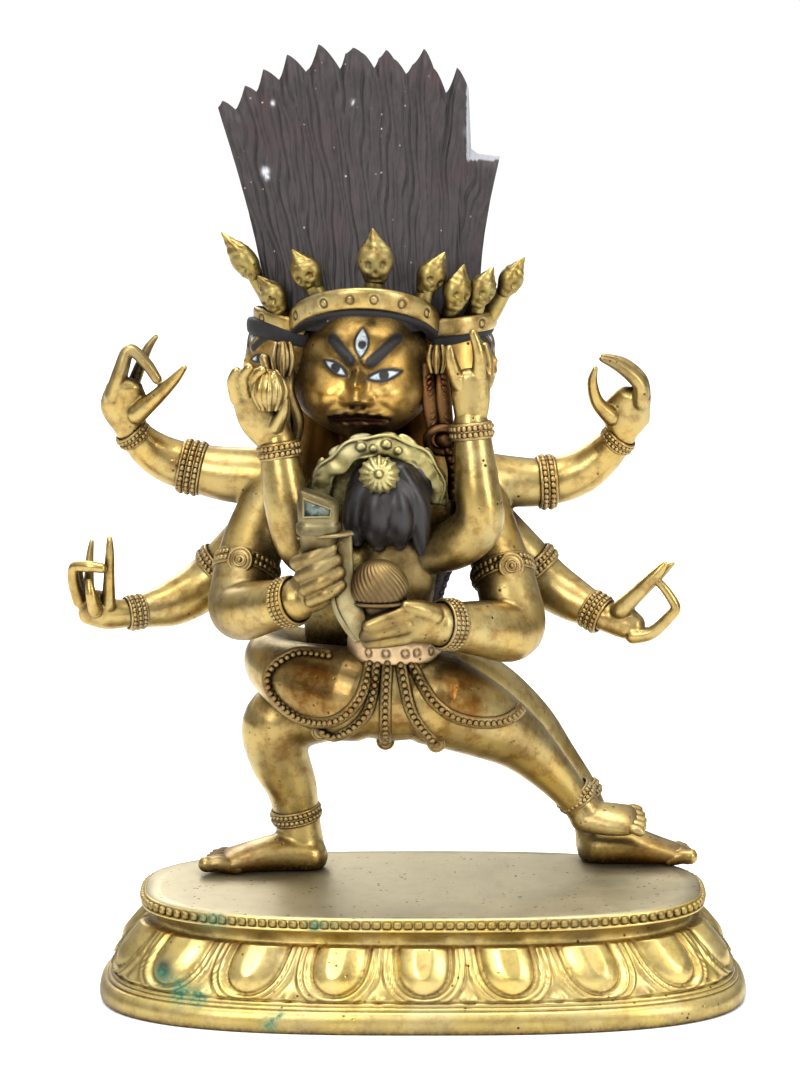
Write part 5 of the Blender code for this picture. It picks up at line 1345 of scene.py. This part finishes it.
def handle_ring(z, width, slope):
    """A ring of the knife's four-faced handle. slope lowers its right side."""
    c, s = np.cos(handle_turns), np.sin(handle_turns)
    x = width * np.sign(c) * np.abs(c) ** 0.6
    y = 0.82 * width * np.sign(s) * np.abs(s) ** 0.6
    return np.stack([-19.1 + x, -17 + y, z - slope * (x + width)], -1)


knife_shapes = [
    lofted([handle_ring(66.0, 3.0, 0), handle_ring(69.4, 3.5, 0), handle_ring(69.8, 4.0, 0),
            handle_ring(71.2, 4.1, 0), handle_ring(71.6, 3.6, 0), handle_ring(72.4, 3.7, 0.02),
            handle_ring(77.6, 3.8, 0.36), handle_ring(78.0, 3.2, 0.36)]),
    roll([(-14.9, -16.8, 69.4, 1.9, 0.7), (-14.9, -17.4, 61.0, 2.5, 0.8),
          (-13.7, -18.6, 56.4, 2.7, 0.8), (-12.4, -19.6, 53.2, 2.2, 0.8),
          (-12.0, -20.0, 50.8, 0.9, 0.6)], 24, up=(0, -1, 0), square=2.8),
    roll([(-17.2, -17.8, 62.5, 0.5), (-16.2, -19.0, 56.8, 0.5), (-14.4, -20.0, 53.2, 0.5),
          (-12.4, -20.3, 50.6, 0.5)], 12),
    roll([(-22.4, -17.6, 69.0, 0.9, 0.5), (-17.0, -19.6, 69.6, 1.2, 0.5),
          (-13.4, -17.8, 69.8, 1.3, 0.5)], 16, up=(0, 0, 1)),
]
make_piece("flaying_knife", knife_shapes, tool_brass)
# A panel on the handle's front holds blue-black enamel inside a bright edge.
panel = np.array([(-21.7, -20.25, 76.5), (-16.7, -20.25, 74.6), (-16.9, -20.2, 73.2),
                  (-21.7, -20.2, 73.1)])
panel_back = panel + (0, 1.2, 0)
make_piece("knife_panel", [lofted([panel, panel_back])], blue_enamel)
edges = [roll([(*a, 0.20), (*b, 0.20)], 10, 2) for a, b in zip(panel, np.roll(panel, -1, 0))]
make_piece("knife_edges", edges, tool_brass)

cup_shapes = [ball((-8.0, -16.0, 56.0), (4.4, 3.8, 3.2)),
              ball((-8.1, -16.6, 57.0), (5.5, 4.9, 1.0))]
cup_turns = np.linspace(0, 2 * np.pi, 192, endpoint=False)
dome = []
for i in range(36):
    rise = math.radians(-20 + 109 * i / 35)
    ribs = 1 + 0.022 * np.cos(32 * cup_turns + 21.0 * rise)
    dome.append(np.stack([-8.2 + 5.4 * math.cos(rise) * ribs * np.cos(cup_turns),
                          -16.6 + 4.9 * math.cos(rise) * ribs * np.sin(cup_turns),
                          np.full(len(cup_turns), 59.4 + 5.4 * math.sin(rise))], -1))
cup_shapes.append(lofted(dome))
skull_cup = make_piece("skull_cup", cup_shapes, strand_bronze)
CUP_TARNISH = [(-8, -22, 57.5, 6, 0.6), (-11, -20, 62, 4, 0.5)]
paint(skull_cup, "tarnish", near(spots_of(skull_cup), CUP_TARNISH))

# %% [markdown]
# She clings to his front, seen from behind: one leg wrapped round his hip, the other
# stretched beside his, and her arms up round his neck. Her body is fused the same way.

# %% Her body and hands
HER_TORSO = [(-5.8, -1.6, 64.5, 7.6, 4.6), (-5.8, -1.8, 58.0, 8.2, 5.4),
             (-5.6, -1.6, 50.0, 6.8, 5.0), (-5.4, -1.8, 44.6, 7.6, 6.2),
             (-5.4, -1.8, 36.4, 12.0, 8.6)]
HER_LEGS = {
    "stretched": [(2.2, -1.8, 35.8, 9.0), (10.6, 1.0, 31.4, 7.4), (18.2, 5.0, 26.0, 5.6),
                  (24.4, 8.0, 19.4, 4.1), (28.9, 10.0, 13.8, 3.3), (30.6, 10.2, 11.6, 3.4)],
    "clasping": [(-13.6, -1.8, 36.6, 9.0), (-21.8, 2.0, 38.0, 7.6), (-28.2, 9, 40.0, 5.4),
                 (-28.8, 17, 41.2, 4.1), (-24.6, 25, 40.6, 3.5), (-16.6, 29, 38.6, 3.1)],
}
HER_ARMS = {
    "left": [(-13.0, -2, 62.4, 3.8), (-18.6, -5, 62.4, 3.8), (-22.9, -6.5, 65.2, 3.9),
             (-25.0, -6.5, 73.2, 4.2), (-26.7, -5, 84.4, 3.3)],
    "right": [(1.0, -2, 63.4, 4.2), (6.4, -5, 65.8, 4.7), (10.2, -7, 70.2, 4.6),
              (9.8, -7, 77.2, 4.1), (8.7, -5, 87.9, 3.3)],
}
HER_FOOT = [(30.6, 9.9, 10.4, 3.4, 2.8), (35.4, 9.3, 10.0, 4.0, 2.5), (38.8, 8.9, 9.9, 4.0, 2.0)]
# The foot behind his back lies along it. The photo hides it, so its shape is the usual one.
HER_HIDDEN_FOOT = [(-17.0, 28.4, 38.7, 3.2, 3.0), (-13.0, 28.3, 37.7, 3.4, 2.6),
                   (-9.6, 27.7, 36.8, 3.4, 2.0)]


def her_form():
    """Her torso and limbs, which the girdle's strands are laid on as well."""
    limbs = list(HER_LEGS.values()) + list(HER_ARMS.values())
    return [roll(HER_TORSO, 40, up=(0, -1, 0))] + [roll(stations, 32) for stations in limbs]


her_shapes = her_form() + [roll(HER_FOOT, up=(0, -0.5, 1)), roll(HER_HIDDEN_FOOT, up=(0, 0, 1)),
                           roll([(-6.5, -2, 67.4, 3.6), (-6.5, -1.4, 60.4, 4.2)])]
consort_body = make_piece("consort_body", her_shapes, burnished_gilding)
cast_in_one(consort_body, voxel=0.38, softening=5, triangles=52000)
paint(consort_body, "tarnish", near(spots_of(consort_body), [
    (-12.2, -7, 46.5, 2.2, 0.95), (-2, -8, 62, 5, 0.5), (40, 9, 12, 3, 0.6),
    (10, -11, 66, 3, 0.3)]))
paint(consort_body, "umber_and_shade", near(spots_of(consort_body), [
    (-20.0, -6, 38.8, 6.5, 1.4), (7.2, -9, 37.6, 6.0, 1.2), (-14, -8, 41, 4, 0.7),
    (18, 0, 27, 4, 0.6), (-6, -10, 34, 6, 0.5), (-22.9, -9, 66, 4, 0.4)]))
her_hand_shapes = hand("her_left") + hand("her_right")
for arm in HER_ARMS.values():
    up_the_arm = 0.8 * np.array(arm[-1]) + 0.2 * np.array(arm[-2])
    her_hand_shapes.append(roll([arm[-1], tuple(up_the_arm)]))
for i in range(5):
    share = i / 4
    her_hand_shapes.append(roll([(-10.4, 30.2 - 5.2 * share, 36.9, 0.8),
                                 (-8.4, 30.4 - 5.4 * share, 36.7, 0.85),
                                 (-6.8 + 0.5 * share, 30.5 - 5.6 * share, 36.2, 0.85)], 16))
    her_hand_shapes.append(roll([(38.2, 12.2 - 5.4 * share, 11.0 - 2.0 * share, 0.9),
                                 (39.8, 12.2 - 6.2 * share, 11.3 - 2.4 * share, 0.98),
                                 (41.0 + 0.6 * math.sin(math.pi * share), 12.4 - 6.6 * share,
                                  11.0 - 2.6 * share, 0.98)], 16))
consort_hands = make_piece("consort_hands", her_hand_shapes, burnished_gilding)
cast_in_one(consort_hands, voxel=0.24, softening=3, triangles=36000)
bulb = [ball((-28.0, -8.8, 94.6), (3.0, 2.7, 3.9), fineness=4)]
for k in range(9):
    a = 2 * math.pi * k / 9
    bulb.append(roll([(-28.0 + 1.8 * math.sin(a), -8.8 - 1.6 * math.cos(a), 91.3, 0.4),
                      (-28.0 + 2.9 * math.sin(a), -8.8 - 2.55 * math.cos(a), 94.6, 0.62),
                      (-28.0 + 1.4 * math.sin(a), -8.8 - 1.3 * math.cos(a), 98.0, 0.35)], 10, 5))
make_piece("consort_bulb", bulb, burnished_gilding)

# %% [markdown]
# Seen from behind, her hair falls in four thick locks, nearly black. A wavy brim with a
# raised edge arches over it as her crown, with small lobes along its outer side and a few
# knobs at the top, and a knot like a rosette holds the hair.

# %% Her hair and crown
HER_HEAD = np.array((-6.5, -3.0, 73.4))
hx, hy, hz = HER_HEAD
lock_shapes = [ball(HER_HEAD, (7.9, 7.9, 8.7), fineness=5)]
HER_LOCKS = [(-1.0, 7.2, 2.4), (-0.36, 7.8, 3.0), (0.30, 7.6, 2.9), (0.94, 9.2, 2.3)]
for share, length, thick in HER_LOCKS:
    depth = 2.3 * abs(share)
    lock_shapes.append(roll([(hx + share * 2.4, hy - 4.4, hz + 6.0, 1.6),
                             (hx + share * 5.6, hy - 6.0 + depth, hz - 0.2, thick),
                             (hx + share * 6.0, hy - 5.3 + depth, hz - 4.2, thick),
                             (hx + share * 6.2 + 0.5, hy - 4.4 + depth, hz - length, 1.2)], 24))
lock_shapes.append(ball((hx + 1.6, hy - 0.6, hz + 2.8), (6.6, 2.4, 6.6)))
consort_hair = make_piece("consort_hair", lock_shapes, her_hair_paint)
cast_in_one(consort_hair, voxel=0.22, softening=1, triangles=26000)

crown_shapes = [ball((hx - 3.4, hy + 1.6, hz + 2.0), (8.6, 1.4, 8.6))]


def on_arch(degrees, out):
    """A place on the crown's arch: how far round from its top, and how far outside its line."""
    a = math.radians(degrees)
    reach = 1 - 0.09 * math.exp(-((degrees + 48) / 24) ** 2)
    return np.array((hx - 2.0 + (10.6 * reach + out) * math.sin(a),
                     hy - 2.2 + 2.2 * (1 - math.cos(a)),
                     hz + 2.2 + (8.4 * reach + out) * math.cos(a)))


ARCH_TURNS = np.linspace(-104, 106, 91)
arch = []
for degrees in ARCH_TURNS:
    wide = 1.9 + 0.30 * math.sin(degrees / 9) + 0.15 * math.sin(degrees / 4.1 + 1)
    thick = 0.75 + 0.12 * math.sin(degrees / 3.3)
    arch.append((*on_arch(degrees, 0.20 * math.sin(degrees / 6)), wide, thick))
crown_shapes.append(roll(arch, 28, 1, up=(0, -1, 0.35), square=2.4))
CROWN_LOBES = [(-92, 1.1, 20), (-64, 0.9, -10), (-38, 1.0, 15), (-14, 1.1, 8), (8, 1.0, -12),
               (28, 1.1, 10), (52, 0.9, 14), (76, 0.8, -8), (98, 1.0, -15)]  # place, size, turn
for degrees, size, turn in CROWN_LOBES:
    crown_shapes.append(ball(on_arch(degrees, 1.6) - (0, 0.1, 0),
                             (2.1 * size, 0.55, 0.95 * size), (0, degrees + turn, 0)))
CROWN_KNOBS = [(-16, 0.2, 1.0), (-4, -0.5, 0.8), (9, 0.3, 1.0), (22, -0.4, 0.85)]
for degrees, out, size in CROWN_KNOBS:
    crown_shapes.append(ball(on_arch(degrees, out) - (0, 0.9, 0),
                             (size, 0.7 * size, 0.9 * size)))
# A thin raised edge runs along both sides of the band.
for out, thick in ((1.75, 0.36), (-1.75, 0.32)):
    edge = [(*(on_arch(degrees, out + 0.25 * math.sin(degrees / 6)) - (0, 0.55, 0)), thick)
            for degrees in ARCH_TURNS]
    crown_shapes.append(roll(edge, 12, 1))
# The knot: a low ball, fourteen petals over it and a boss.
knot_x = hx - 1.6
crown_shapes.append(ball((knot_x, hy - 8.0, hz + 6.0), (3.5, 2.2, 3.3)))
for i in range(14):
    a = 2 * math.pi * i / 14
    c, s = math.cos(a), math.sin(a)
    crown_shapes.append(roll([(knot_x + 0.8 * s, hy - 10.3, hz + 6.4 + 0.8 * c, 0.25),
                              (knot_x + 2.4 * s, hy - 9.5, hz + 6.1 + 2.3 * c, 0.42),
                              (knot_x + 3.5 * s, hy - 8.2, hz + 6.0 + 3.3 * c, 0.4)], 8, 4))
crown_shapes.append(roll([(knot_x, hy - 9.6, hz + 6.4, 0.9), (knot_x, hy - 12.0, hz + 6.8, 0.75)],
                         16, 2))
consort_crown = make_piece("consort_crown", crown_shapes, green_brass)
cast_in_one(consort_crown, voxel=0.18, softening=1, triangles=42000)

# %% [markdown]
# Round her hips lies a broad belt with punched circles, and from it hang festoons of
# carved bone beads: three strands that drop over the seat and two oval loops, one on each
# thigh. Each strand is dropped straight back on to her body, bead by bead, so it lies on
# the skin everywhere.

# %% Her belt and girdle
BELT_X, BELT_Y, BELT_Z = -5.4, -1.7, 45.8
BELT_WIDE, BELT_DEEP, BELT_THICK = 8.0, 6.9, 0.7
belt_line = []
for a in 2 * np.pi * np.arange(240) / 240:
    belt_line.append((BELT_X + BELT_WIDE * math.sin(a), BELT_Y - BELT_DEEP * math.cos(a),
                      BELT_Z, BELT_THICK, 2.3))
belt_points, belt_faces = roll(belt_line, 52, 1, up=(0, 0, 1), square=3.0, closed=True)
belt_marks = [(BELT_X + (BELT_WIDE + BELT_THICK) * math.sin(a),
               BELT_Y - (BELT_DEEP + BELT_THICK) * math.cos(a), BELT_Z)
              for a in np.radians([-34, -10, 14, 30, 54, 120, 180, 240])]
belt_points, belt_dirt = punch(belt_points, belt_marks, radius=0.72, width=0.18, depth=0.40,
                               toward=np.array((BELT_X, BELT_Y, BELT_Z)))
consort_belt = make_piece("consort_belt", [(belt_points, belt_faces)], rosy_gilding)
paint(consort_belt, "tarnish", belt_dirt * 0.85)

GIRDLE_STRANDS = {
    "middle": [(-6.6, 44.0), (-7.0, 37.0), (-7.0, 28.6)],
    "left_drop": [(-8.4, 43.6), (-10.4, 35.0), (-15.8, 30.0), (-18.6, 30.6)],
    "right_drop": [(-4.2, 43.6), (-2.2, 35.0), (1.6, 29.4)],
    "left_loop": [(-9.8, 43.8), (-11.8, 37.6), (-16.6, 33.2), (-23.0, 32.8), (-28.2, 36.8),
                  (-28.4, 41.0), (-23.6, 44.4), (-17.4, 44.6)],
    "right_loop": [(-2.2, 43.4), (2.0, 37.0), (7.6, 33.2), (14.6, 32.2), (19.2, 34.6),
                   (17.4, 39.6), (11.4, 43.0), (4.0, 45.0)],
}
her_trees = [BVHTree.FromPolygons([Vector(p) for p in points], faces)
             for points, faces in her_form()]


def on_her(x, z):
    """Where a line from the front meets her body, or None beside it."""
    hits = [tree.ray_cast(Vector((x, -60, z)), Vector((0, 1, 0)))[0] for tree in her_trees]
    depths = [hit.y for hit in hits if hit is not None]
    return min(depths) if depths else None


girdle_shapes = []
for strand in GIRDLE_STRANDS.values():
    laid = [(x, on_her(x, z), z) for x, z in smooth_path(strand, 10)]
    laid = [spot for spot in laid if spot[1] is not None]
    cord_line = [(x, y - 0.2, z, 1.15, 0.6) for x, y, z in laid]
    girdle_shapes.append(roll(cord_line, 12, 1, up=(0, -1, 0)))
    spots = spaced(laid, 1.2)
    girdle_shapes.append(beads(spots - (0, 0.85, 0), 0.64))
for x, z in ((-19.0, 30.4), (-7.0, 28.0), (2.4, 28.4), (20.4, 32.0)):
    y = on_her(x, z)
    if y is not None:
        girdle_shapes += rosette(np.array((x, y - 0.5, z)), (0, -1, 0), 1.5)
make_piece("consort_girdle", girdle_shapes, strand_bronze)
her_bands = band_of_beads((-26.4, -5, 83.0), (-0.15, 0.1, 1), 3.6, 2, 0.6) \
    + band_of_beads((8.8, -5.2, 86.6), (-0.1, 0.1, 1), 3.6, 2, 0.6) \
    + band_of_beads((29.0, 10.5, 14.2), (0.6, 0.1, -0.8), 3.5, 2, 0.55)
make_piece("consort_jewels", her_bands, bead_gilding)

# %% [markdown]
# The lotus base is an oval drum in one casting. From the floor up: a round moulding, two
# thin ridges, a ring of eighteen lotus petals with their tips down, a smooth cove, a rim
# of squarish beads and the flat plate. It is a grid of rings round the oval. Each petal is
# a boss inside a groove and two raised hems, worked out from how far a point lies from
# the petal's outline, so that the hems run parallel to it as a chaser would cut them.

# %% The lotus base
BASE_HALF = (60.7, 30.8)
PETALS = 18
AROUND = PETALS * 40
OVAL_POWER = 2.8


def oval(inset, angles):
    """Places on the base's outline, drawn in by an inset at the ends."""
    c, s = np.cos(angles), np.sin(angles)
    power = 2 / OVAL_POWER
    steeper = 0.62 * inset  # the front and back walls rise more steeply than the ends
    return np.stack([(BASE_HALF[0] - inset) * np.sign(c) * np.abs(c) ** power,
                     (BASE_HALF[1] - steeper) * np.sign(s) * np.abs(s) ** power], -1)


fine_angles = 2 * np.pi * np.arange(8641) / 8640 - np.pi / 2
fine_line = oval(3.0, fine_angles)
fine_length = np.concatenate([[0], np.cumsum(np.linalg.norm(np.diff(fine_line, axis=0), axis=1))])
column_angles = np.interp(fine_length[-1] * np.arange(AROUND) / AROUND, fine_length, fine_angles)
petal_pitch = fine_length[-1] / PETALS
print(f"a petal every {petal_pitch:.1f} mm")

PETAL_LOW, PETAL_HIGH = 5.7, 15.3
PETAL_LENGTH = 12.2  # up the sloping wall
PETAL_TIP = 0.13  # a petal's tip, as a share of that length


def petal_half_width(share):
    """Half a petal's boss, in petals, up from its tip."""
    up_from_tip = np.clip((share - PETAL_TIP) / (1 - PETAL_TIP), 0, 1)
    return 0.315 * (1 - (1 - up_from_tip) ** 3.4) ** 0.52


def petal_relief(across, share):
    """How far the petals stand out, in mm, at a place across a petal and up it."""
    line_share = np.linspace(PETAL_TIP, 1.25, 90)
    line = np.stack([petal_half_width(np.minimum(line_share, 1)) * petal_pitch,
                     line_share * PETAL_LENGTH], -1)
    spot = np.stack([np.abs(across) * petal_pitch, share * PETAL_LENGTH], -1)
    away = np.linalg.norm(spot[..., None, :] - line, axis=-1).min(-1)
    inside = (np.abs(across) < petal_half_width(share)) & (share > PETAL_TIP)
    boss = 1.75 * np.clip(away / 3.4, 0, 1) ** 0.55
    hems = (0.95 * np.exp(-((away - 1.25) / 0.48) ** 2)
            + 0.80 * np.exp(-((away - 2.45) / 0.42) ** 2) + 0.25 * ramp(away, 0.6, 2.6))
    leaf = 0.75 * np.exp(-((np.abs(across) - 0.5) / (0.045 + 0.02 * (1 - share))) ** 2) \
        * np.exp(-((share - 0.02) / 0.14) ** 2)
    fade = ramp(share, 0.0, 0.05) * ramp(1 - share, 0.0, 0.06)
    return (np.where(inside, boss, hems) + leaf) * fade


across = (np.arange(AROUND) / AROUND * PETALS + 0.5) % 1 - 0.5
# The wall in section: inset, height, and for the petals' rows the share up a petal.
profile = [(0.7, 0.0, 0), (0.25, 0.35, 0), (0.05, 1.0, 0), (0.0, 1.8, 0), (0.12, 2.6, 0),
           (0.45, 3.3, 0), (0.95, 3.85, 0), (1.35, 4.1, 0), (1.75, 4.15, 0), (1.75, 4.3, 0),
           (1.5, 4.5, 0), (1.6, 4.75, 0), (2.0, 4.9, 0), (2.3, 4.92, 0), (2.3, 5.05, 0),
           (2.15, 5.25, 0), (2.35, 5.5, 0), (2.8, 5.65, 0)]
PETAL_ROWS = 52
for step in range(PETAL_ROWS):
    share = step / (PETAL_ROWS - 1)
    profile.append((3.0 + 6.9 * share ** 1.3, PETAL_LOW + (PETAL_HIGH - PETAL_LOW) * share, share))
profile += [(10.3, 15.5, 0), (10.4, 15.8, 0), (10.3, 16.2, 0), (10.0, 16.7, 0), (9.5, 17.2, 0),
            (8.9, 17.65, 0), (8.3, 17.95, 0), (8.0, 18.1, 0), (7.85, 18.3, 0), (8.0, 18.55, 0),
            (8.5, 18.65, 0), (8.5, 20.1, 0), (8.6, 20.3, 0), (8.8, 20.4, 0)]
rings = []
for inset, height, share in profile:
    out = petal_relief(across, np.full(AROUND, share)) if share else np.zeros(AROUND)
    plan = oval(inset, column_angles)
    way = oval(inset - 1, column_angles) - plan
    way /= np.linalg.norm(way, axis=1)[:, None]
    plan = plan + way * out[:, None]
    rings.append(np.hstack([plan, np.full((AROUND, 1), height) + 0.25 * out[:, None]]))
base_points, base_faces = lofted(rings)
base_faces = [face[::-1] for face in base_faces]
lotus_body = make_piece("lotus_body", [(base_points, base_faces[:-1])], base_gilding,
                        0)

# The plate is a stack of ovals that draws in toward the middle, with an edge 1 mm deep.
PLATE_HEIGHT = profile[-1][1]
PLATE_RINGS = 12
plate_rings = []
for k in range(PLATE_RINGS):
    plan = oval(8.8 + 22.0 * (k / PLATE_RINGS) ** 0.8, column_angles[::4])
    height = PLATE_HEIGHT + (0.0 if k else -0.05)
    plate_rings.append(np.hstack([plan, np.full((len(plan), 1), height)]))
plate_points, plate_faces = lofted([plate_rings[0] - (0, 0, 1.0)] + plate_rings)
make_piece("lotus_plate", [(plate_points, [face[::-1] for face in plate_faces])],
           plate_gilding, 0)

# %% [markdown]
# The rim's beads are nearly square, each with flat polished faces, so each is a ball
# pressed toward a cube. One is made and repeated round the oval, turned with it.

# %% The rim's beads
RIM_BEADS, RIM_BEAD_HEIGHT = 140, 19.4
ball_points, ball_faces = BALLS[2]
square_bead = np.sign(ball_points) * np.abs(ball_points) ** 0.62
bead_angles = np.interp(fine_length[-1] * (np.arange(RIM_BEADS) + 0.5) / RIM_BEADS,
                        fine_length, fine_angles)
seats = oval(8.25, bead_angles)
outs = oval(7.25, bead_angles) - seats
bead_points, bead_faces = [], []
for seat, out in zip(seats, outs / np.linalg.norm(outs, axis=1)[:, None]):
    along = np.array((-out[1], out[0]))
    local = square_bead * (0.85, 0.58, 0.66)
    spots = np.stack([seat[0] + local[:, 0] * along[0] + local[:, 1] * out[0],
                      seat[1] + local[:, 0] * along[1] + local[:, 1] * out[1],
                      RIM_BEAD_HEIGHT + local[:, 2]], -1)
    start = len(ball_points) * len(bead_points)
    bead_faces += [tuple(i + start for i in face) for face in ball_faces]
    bead_points.append(spots)
rim_beads = make_piece("rim_beads", [(np.vstack(bead_points), bead_faces)], base_gilding,
                       0)

VERDIGRIS = [(-38.6, -21.4, 19.4, 3.0, 0.75), (-19.6, -25.2, 19.4, 1.6, 1.0),
             (-16.5, -25.4, 19.4, 1.2, 0.5), (-47.8, -20.6, 8.4, 2.4, 1.0),
             (-44.6, -23.4, 6.4, 2.4, 1.3), (-41.4, -25.2, 5.8, 1.9, 1.4),
             (-36.0, -28.0, 5.8, 2.0, 0.45), (-28.2, -30.2, 2.0, 1.3, 1.9),
             (-26.0, -29.6, 3.7, 0.8, 1.5)]
BASE_TARNISH = [(-47.6, -20.4, 9.6, 2.3, 1.2), (-48.8, -19.2, 11.8, 2.6, 0.6),
                (-60, -6, 4, 13, 0.7), (-58, 0, 14, 9, 0.5), (60, 0, 4, 10, 0.6),
                (-30, -30, 1, 6, 0.3), (10, -31, 0, 7, 0.3)]
for piece in (rim_beads, lotus_body):
    spots = spots_of(piece) + (0, 0, SOLE)
    x, y, z = spots.T
    ragged = 0.75 + 0.5 * np.sin(x * 2.9) * np.sin(y * 3.7) * np.sin(z * 4.3)
    paint(piece, "verdigris", near(spots, VERDIGRIS) * ragged)
    # Darker toward the bottom: the lowest 4.6 mm of the base.
    bottom_darkening = 0.26 * ramp(4.6 - z, 0.0, 1.2) * (0.7 + 0.3 * np.sin(x * 0.55))
    paint(piece, "tarnish", np.maximum(near(spots, BASE_TARNISH), bottom_darkening))
# Dirt gathers at the top corners of the petals, under the cove.
corner = np.zeros((len(profile), AROUND))
for row, (_, _, share) in enumerate(profile):
    side = np.exp(-((np.abs(across) - 0.34) / 0.11) ** 2)
    corner[row] = 1.1 * side * math.exp(-((share - 0.96) / 0.12) ** 2) if share else 0
paint(lotus_body, "umber_and_shade", corner.ravel() * ragged)

# %% [markdown]
# Each new piece stands for the solid it was built over. The frame keeps those solids for
# weight and contact, and hides them here. The last lines count the triangles of each piece
# and of them all.

# %% Hand the pieces over
for name, piece in pieces.items():
    if name.startswith("consort"):
        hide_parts("consort")
    elif name in ("lotus_body", "lotus_plate", "rim_beads"):
        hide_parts("lotus_base")
    else:
        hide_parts("deity")
total = 0
for name, piece in pieces.items():
    piece.data.calc_loop_triangles()
    total += len(piece.data.loop_triangles)
    print(f"{name}: {len(piece.data.loop_triangles)} triangles")
print("triangles in all:", total)
